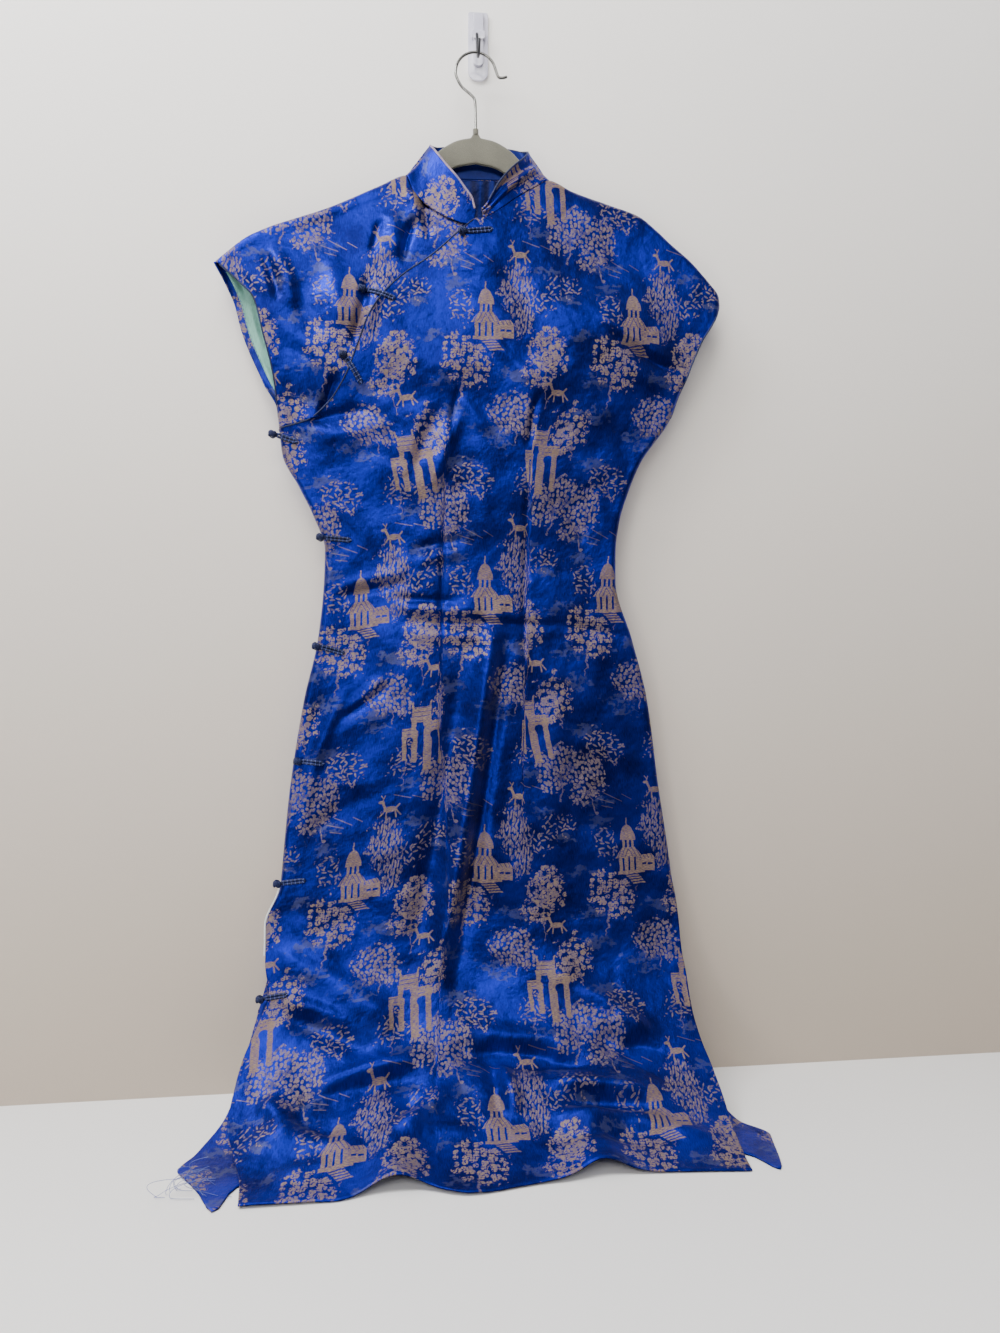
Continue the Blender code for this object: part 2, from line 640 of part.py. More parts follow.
def hanger_edge(x):
    """The hanger's top and bottom edges in the row's frame, at places across it."""
    out = np.abs(x)
    drop = HANGER_CURVE.read("drop", out)
    tall = HANGER_CURVE.read("tall", out)
    nub = 0.0050 * np.exp(-(x / 0.0042) ** 4)
    rise = x * math.tan(HANGER_TILT)
    bottom = HANGER_TOP_Z - drop - tall + rise
    across = x + HANGER_X
    covered = (across < NECK_LEFT_X) | (across > NECK_RIGHT_X)
    seam = -TOP.read("s", across) - WALL / 2 - 0.0012
    top = HANGER_TOP_Z - drop + rise
    top = np.where(covered, np.minimum(top, seam), top) + nub
    return across, top, bottom


def make_hanger(finish):
    """The thin flocked body of the hanger, with the nub that holds its wire."""
    out = np.array([0.0, 0.0022, 0.0040, 0.0060, 0.012, 0.022, 0.036, 0.050, 0.066, 0.078, 0.084,
                    0.096, 0.112, 0.135, 0.160, 0.185, 0.203, 0.214, 0.2195, 0.2220])
    x = np.concatenate([-out[:0:-1], out])
    across, top, bottom = hanger_edge(x)
    half = HANGER_THICK / 2
    bevel = 0.0014
    ring = ((-half, 1, -bevel), (-half + bevel, 1, 0), (half - bevel, 1, 0), (half, 1, -bevel),
            (half, 0, bevel), (half - bevel, 0, 0), (-half + bevel, 0, 0), (-half, 0, bevel))
    verts = []
    for k in range(len(x)):
        for y, high, inset in ring:
            edge = top[k] if high else bottom[k]
            verts.append((across[k], HANGER_Y + y, edge + inset))
    faces = []
    count = len(ring)
    for r in range(len(x) - 1):
        for k in range(count):
            a = r * count + k
            b = r * count + (k + 1) % count
            faces.append((a, b, b + count, a + count))
    faces.append(tuple(range(count))[::-1])
    faces.append(tuple((len(x) - 1) * count + k for k in range(count)))
    return add_mesh("hanger_body", verts, faces, finish, 30.0)


def curve_points(points, steps):
    """A smooth line through a few points, evenly divided."""
    points = np.array(points, dtype=float)
    padded = np.concatenate([2 * points[:1] - points[1:2], points, 2 * points[-1:] - points[-2:-1]])
    line = []
    for a, b, c, d in zip(padded, padded[1:], padded[2:], padded[3:]):
        for t in np.linspace(0, 1, 12, endpoint=False):
            line.append(0.5 * (2 * b + (c - a) * t + (2 * a - 5 * b + 4 * c - d) * t ** 2
                               + (3 * b - a - 3 * c + d) * t ** 3))
    line.append(points[-1])
    return along(line, np.linspace(0, 1, steps))


def make_wire_hook(finish):
    """The hanger's steel question-mark hook."""
    centre_x = HANGER_X + 0.0004
    tip = [(0.0335, -0.0020), (0.0290, -0.0035), (0.0243, -0.0028)]
    line = [(centre_x + x, LOOP_Z + z) for x, z in tip]
    for degrees in range(12, 196, 20):
        turn = math.radians(degrees)
        line.append((centre_x + LOOP_RADIUS * math.cos(turn), LOOP_Z + LOOP_RADIUS * math.sin(turn)))
    stem_z = HANGER_TOP_Z + 0.0050 + SEAM_GAP
    line += [(centre_x - 0.0160, LOOP_Z - 0.0150), (centre_x - 0.0070, LOOP_Z - 0.0225),
             (HANGER_X - 0.0016, LOOP_Z - 0.0275), (HANGER_X - 0.0004, LOOP_Z - 0.0345),
             (HANGER_X, -0.094), (HANGER_X, stem_z)]
    points = curve_points([(x, HANGER_Y, z) for x, z in line], 36)
    return tube("hanger_hook", points, np.full(len(points), WIRE_RADIUS), finish, 8)


def make_wall_wire(finish):
    """The wall hook's wire, which carries the hanger's loop in its bend."""
    x = -0.0020
    saddle = LOOP_Z + LOOP_RADIUS - 2 * WIRE_RADIUS - SEAM_GAP - 0.0002
    front = PLATE_THICK + SEAM_GAP
    line = [(x, -front, 0.0080), (x, -0.0066, 0.0080), (x, -0.0092, 0.0050), (x, -0.0120, -0.0070),
            (x, -0.0165, -0.0190),
            (x, -0.0210, saddle + 0.0008), (x, HANGER_Y - 0.0005, saddle), (x, -0.0285, saddle + 0.0015),
            (x, -0.0318, -0.0185), (x, -0.0330, -0.0120)]
    points = curve_points(line, 26)
    return tube("wall_hook_wire", points, np.full(len(points), WIRE_RADIUS), finish, 8)


def make_plate(finish):
    """The wall hook's thin plate, square-shouldered above and round below."""
    half = PLATE_WIDTH / 2
    outline = []
    for centre_x, centre_z, radius, start in ((half - 0.003, PLATE_TOP - 0.003, 0.003, 0),
                                              (-half + 0.003, PLATE_TOP - 0.003, 0.003, 90),
                                              (-half + 0.009, PLATE_BOTTOM + 0.009, 0.009, 180),
                                              (half - 0.009, PLATE_BOTTOM + 0.009, 0.009, 270)):
        for step in range(5):
            turn = math.radians(start + 22.5 * step)
            outline.append((centre_x + radius * math.cos(turn), centre_z + radius * math.sin(turn)))
    count = len(outline)
    bevel = 0.0010
    verts = []
    for y, inset in ((0.0, 0.0), (-PLATE_THICK + bevel, 0.0), (-PLATE_THICK, bevel)):
        for x, z in outline:
            shrink_x = 1 - inset / half
            shrink_z = 1 - inset / PLATE_TOP
            verts.append((x * shrink_x, y, z * shrink_z))
    faces = [tuple(range(count))[::-1], tuple(2 * count + k for k in range(count))]
    for r in range(2):
        for k in range(count):
            a = r * count + k
            b = r * count + (k + 1) % count
            faces.append((a, b, b + count, a + count))
    return add_mesh("wall_hook_plate", verts, faces, finish, 30.0)


def build():
    """Make every piece of the dress, the hanger and the wall hook."""
    clear_scene()
    satin = material("blue_satin", (0.020, 0.070, 0.560), 0.35, 0.2)
    collar_satin = material("collar_satin", (0.060, 0.080, 0.480), 0.40, 0.2)
    mint = material("mint_lining", (0.400, 0.640, 0.580), 0.45)
    cord = material("frog_cord", (0.015, 0.035, 0.180), 0.50)
    flock = material("grey_flock", (0.370, 0.370, 0.300), 0.90)
    steel = material("hook_steel", (0.550, 0.550, 0.540), 0.30, 1.0)
    dark_wire = material("dark_wire", (0.080, 0.080, 0.090), 0.40, 1.0)
    clear = material("plate_plastic", (0.800, 0.800, 0.820), 0.25)
    front = make_front(satin)
    make_back(satin)
    underlap = make_underlap(satin)
    make_collar(collar_satin)
    make_sleeve_lining(mint)
    for name, row in zip(FROG_NAMES, FROGS.data):
        gap = 0.0008 if name == "frog_collar" else FROG_GAP
        make_frog(name, row, cord, (front, underlap), gap)
    make_hanger(flock)
    make_wire_hook(steel)
    make_wall_wire(dark_wire)
    make_plate(clear)


build()
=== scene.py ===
# %% [markdown]
# # A brocade cheongsam on its hanger
# The real thing is a long fitted dress of jacquard satin: a front, a small underlap, a
# back, a stand collar and knotted cord buttons. It hangs flat on a thin flocked hanger,
# and its skirt bends forward where it reaches a table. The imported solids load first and
# fix every size. Each cloth piece is then made again with its creases and its weave.

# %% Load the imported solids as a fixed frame
import math

import bmesh
import bpy
import numpy as np
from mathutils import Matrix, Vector
from mathutils.bvhtree import BVHTree


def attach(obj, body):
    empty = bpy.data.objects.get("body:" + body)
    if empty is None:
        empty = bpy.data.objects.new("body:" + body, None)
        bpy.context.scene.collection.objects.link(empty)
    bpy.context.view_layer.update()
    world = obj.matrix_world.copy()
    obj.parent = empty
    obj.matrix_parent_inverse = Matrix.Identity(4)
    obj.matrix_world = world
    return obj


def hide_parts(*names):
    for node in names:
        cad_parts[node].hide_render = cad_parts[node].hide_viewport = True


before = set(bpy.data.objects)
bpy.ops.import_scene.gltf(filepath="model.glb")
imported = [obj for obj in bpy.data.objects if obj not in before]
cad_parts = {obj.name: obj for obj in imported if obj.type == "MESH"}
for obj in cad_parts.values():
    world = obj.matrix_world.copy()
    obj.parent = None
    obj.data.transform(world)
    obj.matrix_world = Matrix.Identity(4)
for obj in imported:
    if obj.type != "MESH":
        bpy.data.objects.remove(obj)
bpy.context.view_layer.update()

MM = 0.001
print("packed solids:", len(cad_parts))

# %% [markdown]
# ## The camera
# The photograph was taken from about 1.1 m with a phone's wide lens, a little to the
# left of the dress and turned slightly right. The same lens and place give the same
# perspective: the table shows from above, and the hem looks wider than the hips.

# %% Place the camera
CAMERA_PLACE = (-0.1123, -1.1133, -0.6527)
TILT_DOWN, TURN_RIGHT = 1.6, 7.0

lens = bpy.data.cameras.new("phone_lens")
lens.lens = 27.0
lens.sensor_width = 36.0
lens.clip_start = 0.01
camera = bpy.data.objects.new("camera", lens)
camera.location = CAMERA_PLACE
camera.rotation_euler = (math.radians(90 - TILT_DOWN), 0, math.radians(-TURN_RIGHT))
bpy.context.scene.collection.objects.link(camera)
bpy.context.scene.camera = camera
print("camera at", tuple(round(v, 3) for v in camera.location))

# %% [markdown]
# ## Writing a material as sums
# A material is a tree of nodes, and most of them are arithmetic. One small class wraps a
# socket and gives it the usual operators, so a pattern can be written as a formula that
# is easy to read. Any other node comes from one method: its kind, its settings, then
# what goes into its sockets.


# %% A wrapper for a node's socket
class Ink:
    """One socket of a node tree. Sums written with it add the Math nodes that they need."""

    def __init__(self, tree, socket=None):
        self.tree = tree
        self.socket = socket

    def node(self, kind, settings=None, sockets=None):
        """Add a node: its settings are set first, then its sockets' values or links."""
        made = self.tree.nodes.new(kind)
        for name, value in (settings or {}).items():
            setattr(made, name, value)
        for name, value in (sockets or {}).items():
            if isinstance(value, Ink):
                self.tree.links.new(value.socket, made.inputs[name])
            else:
                made.inputs[name].default_value = value
        return made

    def out(self, made, name=0):
        """One of a node's outputs, as ink."""
        return Ink(self.tree, made.outputs[name])

    def math(self, operation, *values):
        """One Math node of the operation."""
        return self.out(self.node("ShaderNodeMath", {"operation": operation}, dict(enumerate(values))))

    def vector(self, operation, *values, out=0):
        """One Vector Math node: output 0 is a vector, output 1 a number."""
        made = self.node("ShaderNodeVectorMath", {"operation": operation}, dict(enumerate(values)))
        return self.out(made, out)

    def __add__(self, other):
        return self.math("ADD", self, other)

    def __radd__(self, other):
        return self.math("ADD", other, self)

    def __sub__(self, other):
        return self.math("SUBTRACT", self, other)

    def __rsub__(self, other):
        return self.math("SUBTRACT", other, self)

    def __mul__(self, other):
        return self.math("MULTIPLY", self, other)

    def __rmul__(self, other):
        return self.math("MULTIPLY", other, self)

    def __neg__(self):
        return self.math("MULTIPLY", self, -1.0)

    def __abs__(self):
        return self.math("ABSOLUTE", self)

    def wrap(self, low, high):
        """This value, repeated between low and high."""
        return self.math("WRAP", self, high, low)

    def ease(self, low, high, start=0.0, end=1.0):
        """A smooth step of this value from start to end."""
        made = self.node("ShaderNodeMapRange", {"interpolation_type": "SMOOTHSTEP"},
                         {"Value": self, "From Min": low, "From Max": high,
                          "To Min": start, "To Max": end})
        return self.out(made)

    def mix(self, first, second):
        """A colour mixed by this value."""
        made = self.node("ShaderNodeMix", {"data_type": "RGBA"}, {0: self, 6: first, 7: second})
        return self.out(made, 2)

    def noise(self, place, scale, detail=2.0, name="Fac", rough=0.5):
        """Soft noise at a place: a number from its Fac output, a vector from its Color."""
        made = self.node("ShaderNodeTexNoise", None,
                         {"Vector": place, "Scale": scale, "Detail": detail, "Roughness": rough})
        return self.out(made, name)

    def parts(self):
        """The three numbers of a vector."""
        made = self.node("ShaderNodeSeparateXYZ", None, {0: self})
        return [self.out(made, k) for k in range(3)]

    def join(self, x, y, z=0.0):
        """A vector of three numbers."""
        return self.out(self.node("ShaderNodeCombineXYZ", None, {0: x, 1: y, 2: z}))


def least(*values):
    """The smallest of several values."""
    found = values[0]
    for value in values[1:]:
        found = found.math("MINIMUM", found, value)
    return found


def most(*values):
    """The largest of several values."""
    found = values[0]
    for value in values[1:]:
        found = found.math("MAXIMUM", found, value)
    return found


def new_finish(name, colour):
    """A new material with one shader, and the ink to write its nodes with."""
    made = bpy.data.materials.new(name)
    made.use_nodes = True
    made.diffuse_color = (*colour, 1.0)
    shader = made.node_tree.nodes["Principled BSDF"]
    shader.inputs["Base Color"].default_value = (*colour, 1.0)
    return made, shader, Ink(made.node_tree)


def feed(shader, name, ink):
    """Link a value to one of the shader's sockets."""
    ink.tree.links.new(ink.socket, shader.inputs[name])


def relief(shader, ink, height, distance, strength=1.0):
    """Raise the surface by a height value, through a Bump node into Normal."""
    bump = ink.node("ShaderNodeBump", None, {"Strength": strength, "Distance": distance, "Height": height})
    feed(shader, "Normal", ink.out(bump))


print("shader helpers ready")

# %% [markdown]
# ## The table, the wall and the light
# The dress hangs against a pale wall and its hem rests on a pale table. Both are stage,
# not part of the object. The wall turns clear on its back face, so that views from
# behind still see the dress. A wide window behind the camera, a lamp overhead, a small
# one at the upper left and a low one at the left give soft light. The room is dim below,
# and shiny things don't mirror the table, so the satin shines at the chest and sinks
# towards the hem, as the real one does. The wall casts no shadow, and one wide lamp behind
# it and below the table's level lights the back, without reaching the table or the front.

# %% Make the stage
TABLE_Z = -1.1526
STAGE_REACH, WALL_HEIGHT = 2.6, 1.3
WALL_Y, TABLE_BACK_Y = 0.0012, 0.0016
TABLE_PAINT, WALL_PAINT = (0.80, 0.79, 0.78), (0.88, 0.86, 0.84)
# The wall's paint turns darker and warmer towards its foot: painted shade, for the light falling off down the
# wall.
WALL_SHADE_FROM, WALL_SHADE_TO = 0.35, -1.25
WALL_PAINTED_SHADE = (0.430, 0.365, 0.300, 1.0)


def stage_plane(name, corners, colour, rough, clear_behind):
    """One flat stage surface from its corners, facing the way that they turn."""
    mesh = bpy.data.meshes.new(name)
    mesh.from_pydata(corners, [], [tuple(range(len(corners)))])
    made = bpy.data.objects.new(name, mesh)
    bpy.context.scene.collection.objects.link(made)
    finish, shader, ink = new_finish(name + "_paint", colour)
    place = ink.out(ink.node("ShaderNodeTexCoord"), "Object")
    mottle = ink.noise(place, 2.2, 1.0).ease(0.3, 0.7)
    shade = mottle.mix((*[c * 0.975 for c in colour], 1.0), (*colour, 1.0))
    # On the wall, painted shade: its colour darkens towards its foot.
    if clear_behind:
        painted_shade = place.parts()[2].ease(WALL_SHADE_FROM, WALL_SHADE_TO, 0.0, 1.0)
        shade = painted_shade.mix(shade, WALL_PAINTED_SHADE)
    feed(shader, "Base Color", shade)
    shader.inputs["Roughness"].default_value = rough
    shader.inputs["Specular IOR Level"].default_value = 0.25
    if clear_behind:
        behind = ink.out(ink.node("ShaderNodeNewGeometry"), "Backfacing")
        clear = ink.out(ink.node("ShaderNodeBsdfTransparent"))
        painted = Ink(ink.tree, shader.outputs[0])
        both = ink.node("ShaderNodeMixShader", None, {0: behind, 1: painted, 2: clear})
        end = ink.tree.nodes["Material Output"]
        ink.tree.links.new(both.outputs[0], end.inputs["Surface"])
    mesh.materials.append(finish)
    return made


floor_z = TABLE_Z - 0.0008
table_top = stage_plane("table_top",
                        [(-STAGE_REACH, -STAGE_REACH, floor_z), (STAGE_REACH, -STAGE_REACH, floor_z),
                         (STAGE_REACH, TABLE_BACK_Y, floor_z), (-STAGE_REACH, TABLE_BACK_Y, floor_z)],
                        TABLE_PAINT, 0.45, clear_behind=False)
table_top.visible_glossy = False
wall = stage_plane("wall",
                   [(-STAGE_REACH, WALL_Y, floor_z), (STAGE_REACH, WALL_Y, floor_z),
                    (STAGE_REACH, WALL_Y, WALL_HEIGHT), (-STAGE_REACH, WALL_Y, WALL_HEIGHT)],
                   WALL_PAINT, 0.6, clear_behind=True)
wall.visible_shadow = False


def soft_lamp(name, place, aim, size, watts, colour):
    """A large area lamp at a place, turned to an aim point."""
    light = bpy.data.lights.new(name, "AREA")
    light.shape = "RECTANGLE"
    light.size, light.size_y = size
    light.energy = watts
    light.color = colour
    made = bpy.data.objects.new(name, light)
    made.location = place
    made.rotation_euler = (Vector(aim) - Vector(place)).to_track_quat("-Z", "Y").to_euler()
    bpy.context.scene.collection.objects.link(made)
    return made


DAYLIGHT, SOFT_WHITE, COOL_WHITE = (1.0, 0.985, 0.96), (1.0, 0.99, 0.975), (0.96, 0.98, 1.0)
soft_lamp("window_lamp", place=(-0.80, -3.00, 1.10), aim=(0.0, 0.0, -0.35), size=(3.0, 1.0),
          watts=74.0, colour=DAYLIGHT)
ceiling = soft_lamp("ceiling_lamp", place=(-0.50, -0.90, 1.30), aim=(-0.20, -0.25, -1.15),
                    size=(1.3, 0.9), watts=62.0, colour=SOFT_WHITE)
ceiling.visible_glossy = False
soft_lamp("corner_lamp", place=(-1.15, -0.60, 0.80), aim=(-0.2, 0.0, -0.25), size=(0.5, 0.5),
          watts=26.0, colour=COOL_WHITE)
soft_lamp("side_lamp", place=(-1.30, -1.90, -0.86), aim=(0.0, 0.0, -0.80), size=(0.35, 0.5),
          watts=9.5, colour=SOFT_WHITE)
soft_lamp("back_lamp", place=(0.20, 2.10, -1.75), aim=(0.0, 0.0, -0.45), size=(2.6, 0.9),
          watts=85.0, colour=SOFT_WHITE)

# %% Make the dim room around the stage
ROOM_BELOW, ROOM_ABOVE = (0.060, 0.056, 0.052, 1.0), (0.50, 0.53, 0.58, 1.0)
ROOM_STRENGTH = 0.36

world = bpy.data.worlds.new("room")
world.use_nodes = True
room = Ink(world.node_tree)
_, _, upward = room.out(room.node("ShaderNodeTexCoord"), "Generated").parts()
sky = upward.ease(-0.10, 0.60).mix(ROOM_BELOW, ROOM_ABOVE)
backdrop = world.node_tree.nodes["Background"]
world.node_tree.links.new(sky.socket, backdrop.inputs["Color"])
backdrop.inputs["Strength"].default_value = ROOM_STRENGTH
bpy.context.scene.world = world
print("stage and lamps ready")

# %% [markdown]
# ## The woven landscape
# The cloth repeats every 162 mm across and 290 mm down. In each repeat a small tower
# stands with its stairs, and half a repeat further a gate with three arches, among trees
# of dot leaves, blossom, bamboo sprigs, a hanging willow and low bands of cloud. All of
# it is drawn here as distances to simple shapes: a distance below zero is inside. The
# UV map gives the place on the cloth in metres, so the pattern bends with the folds.

# %% Simple shapes as distances, in millimetres
REPEAT_ACROSS = 162.0
REPEAT_DOWN = 290.0
TO_MM = 1000.0


def moved(local, centre):
    """The same place, measured from another centre."""
    return local.vector("SUBTRACT", local, (*centre, 0.0))


def box(local, centre, half):
    """The distance outside an upright rectangle."""
    away = local.vector("ABSOLUTE", moved(local, centre))
    across, down, _ = local.vector("SUBTRACT", away, (*half, 0.0)).parts()
    return most(across, down)


def disc(local, centre, radius):
    """The distance outside a circle."""
    return local.vector("DISTANCE", local, (*centre, 0.0), out=1) - radius


def blob(local, centre, half):
    """How far out a place is of an ellipse: 1 on its edge."""
    scaled = local.vector("MULTIPLY", moved(local, centre), (1 / half[0], 1 / half[1], 0.0))
    return local.vector("LENGTH", scaled, out=1)


def twig(local, start, end, half_width):
    """The distance outside a thin straight stroke between two places."""
    run = (end[0] - start[0], end[1] - start[1])
    size = run[0] ** 2 + run[1] ** 2
    from_start = moved(local, start)
    share = local.vector("DOT_PRODUCT", from_start, (run[0] / size, run[1] / size, 0.0), out=1)
    share = share.math("MINIMUM", share.math("MAXIMUM", share, 0.0), 1.0)
    nearest = local.vector("SCALE", local.join(run[0], run[1]))
    share.tree.links.new(share.socket, nearest.socket.node.inputs["Scale"])
    return local.vector("DISTANCE", from_start, nearest, out=1) - half_width


def gate(local):
    """A gate with three arches under stepped panels."""
    across, down, _ = local.parts()
    panels = least(box(local, (-2, -26), (10, 8)), box(local, (-14.5, -8), (8.5, 5)),
                   box(local, (13.5, -12), (9, 6)))
    lean = local.join(across - down * 0.05, down)
    posts = least(box(lean, (-20, 6), (2.4, 15)), box(lean, (-9.5, 0), (3.0, 24)),
                  box(lean, (4.4, 6), (4.2, 28)), box(lean, (19, 8), (2.9, 21)))
    horns = most(abs(abs(across + 2) - 9 + (down + 35) * 0.4) - 0.8, abs(down + 36) - 3.6)
    arches = least(disc(local, (-14.6, 1.0), 3.9), disc(local, (-3.6, -12), 4.4),
                   disc(local, (11.6, -3), 4.6))
    lines = 0.30 - abs(down.wrap(0.0, 4.4) - 2.2)
    return most(least(most(panels, lines), posts, horns), -arches)


def tower(local):
    """A small domed tower on posts, with a side hall and stairs."""
    across, down, _ = local.parts()
    wide = abs(across)
    spire = box(local, (0, -34), (0.7, 5))
    dome = most((blob(local, (0, -13), (8.6, 17.5)) - 1.0) * 8.6, down + 13.5)
    neck = most(box(local, (0, -9.4), (6.4, 4.2)), 1.2 - abs(wide - 2.6))
    roof = most(wide - (down + 7) * 0.75 - 6.5, abs(down - 0.2) - 5.6)
    ribs = 0.30 - abs((wide - down * 0.5).wrap(0.0, 4.2) - 2.1)
    posts = most(box(local, (0.5, 12.6), (12.5, 7.6)), abs(across.wrap(0.0, 6.8) - 3.4) - 2.3)
    base = box(local, (2, 21.6), (16, 1.7))
    side_roof = most(abs(across - 21) - (down - 3) * 0.8 - 5, abs(down - 5.5) - 2.6)
    slots = most(abs(down - 13.5) - 1.1, abs(abs(across - 21) - 3.4) - 2.4)
    hall = most(box(local, (21, 14.5), (8.6, 6.8)), -slots)
    slope = across - (down - 28) * 0.9 - 6
    steps = most(abs(slope) - 7.5, abs(down - 29) - 6, abs(down.wrap(0.0, 2.7) - 1.35) - 0.78)
    return least(spire, dome, neck, most(least(roof, side_roof), ribs), posts, base, hall, steps)


def deer(local, centre):
    """A little leaping deer with its head up: body, neck, head, antlers, legs and tail."""
    here = moved(local, centre)
    body = (blob(here, (0, 0), (7.2, 3.2)) - 1.0) * 3.0
    head = (blob(here, (-9.6, -8.6), (3.2, 1.7)) - 1.0) * 1.7
    return least(body, head, twig(here, (-5.5, -1.5), (-8.2, -8.0), 1.35),
                 twig(here, (-8.6, -9.5), (-6.0, -15.0), 0.5),
                 twig(here, (-7.4, -12.0), (-10.0, -15.5), 0.45),
                 twig(here, (-5.8, 1.0), (-10.8, 6.6), 0.75), twig(here, (-3.8, 2.0), (-4.6, 9.0), 0.75),
                 twig(here, (5.2, 1.4), (6.4, 9.0), 0.85), twig(here, (6.0, 0.6), (11.2, 7.2), 0.75),
                 twig(here, (6.4, -1.6), (9.4, -4.4), 0.9))


print("shapes ready")


# %% [markdown]
# ## Leaves, threads and colours
# Leaves come from a Voronoi pattern, kept only inside the crowns of the trees. A crown is
# a few ellipses whose edge a noise pushes about. Each leaf takes its own tone from its
# cell, from dull mauve to bright tan. The ground is blue satin, whose long floats shine
# with the blue of the thread: a mostly metallic tint gives that. The figures are dull tan
# and mauve weft, rougher and not metallic.

# %% The brocade finish
GROUND_BLUE = (0.010, 0.020, 0.385, 1.0)
DEEP_BLUE = (0.003, 0.005, 0.115, 1.0)
TAN = (0.170, 0.112, 0.072, 1.0)
LIGHT_TAN = (0.260, 0.182, 0.126, 1.0)
LEAF = (0.200, 0.148, 0.150, 1.0)
DIM_LEAF = (0.075, 0.062, 0.130, 1.0)
CLOUD = (0.075, 0.085, 0.180, 1.0)
SATIN_SHINE, INSIDE_SHINE = 0.85, 0.55
SATIN_ROUGH, FIGURE_ROUGHER = 0.40, 0.14
RUMPLE_DEPTH = 0.0032


def leaf_spots(ink, place, size, turn=None, reach=0.42, even=0.85, slim=2.4):
    """Leaves of a size in mm, round or as turned slivers, and each leaf's chance value."""
    scaled = ink.vector("DIVIDE", place, (size, size, 1.0))
    cells = ink.node("ShaderNodeTexVoronoi", {"voronoi_dimensions": "2D"},
                     {"Vector": scaled, "Scale": 1.0, "Randomness": even})
    chance, other, _ = ink.out(cells, "Color").parts()
    if turn is None:
        return ink.out(cells, "Distance") - (other * 0.16 + (reach - 0.08)), chance
    from_centre = ink.vector("SUBTRACT", scaled, ink.out(cells, "Position"))
    turned = ink.node("ShaderNodeVectorRotate", {"rotation_type": "Z_AXIS"},
                      {"Vector": from_centre, "Angle": (other - 0.5) * turn})
    stretched = ink.vector("MULTIPLY", ink.out(turned), (slim, 1.0, 0.0))
    return ink.vector("LENGTH", stretched, out=1) - reach, chance


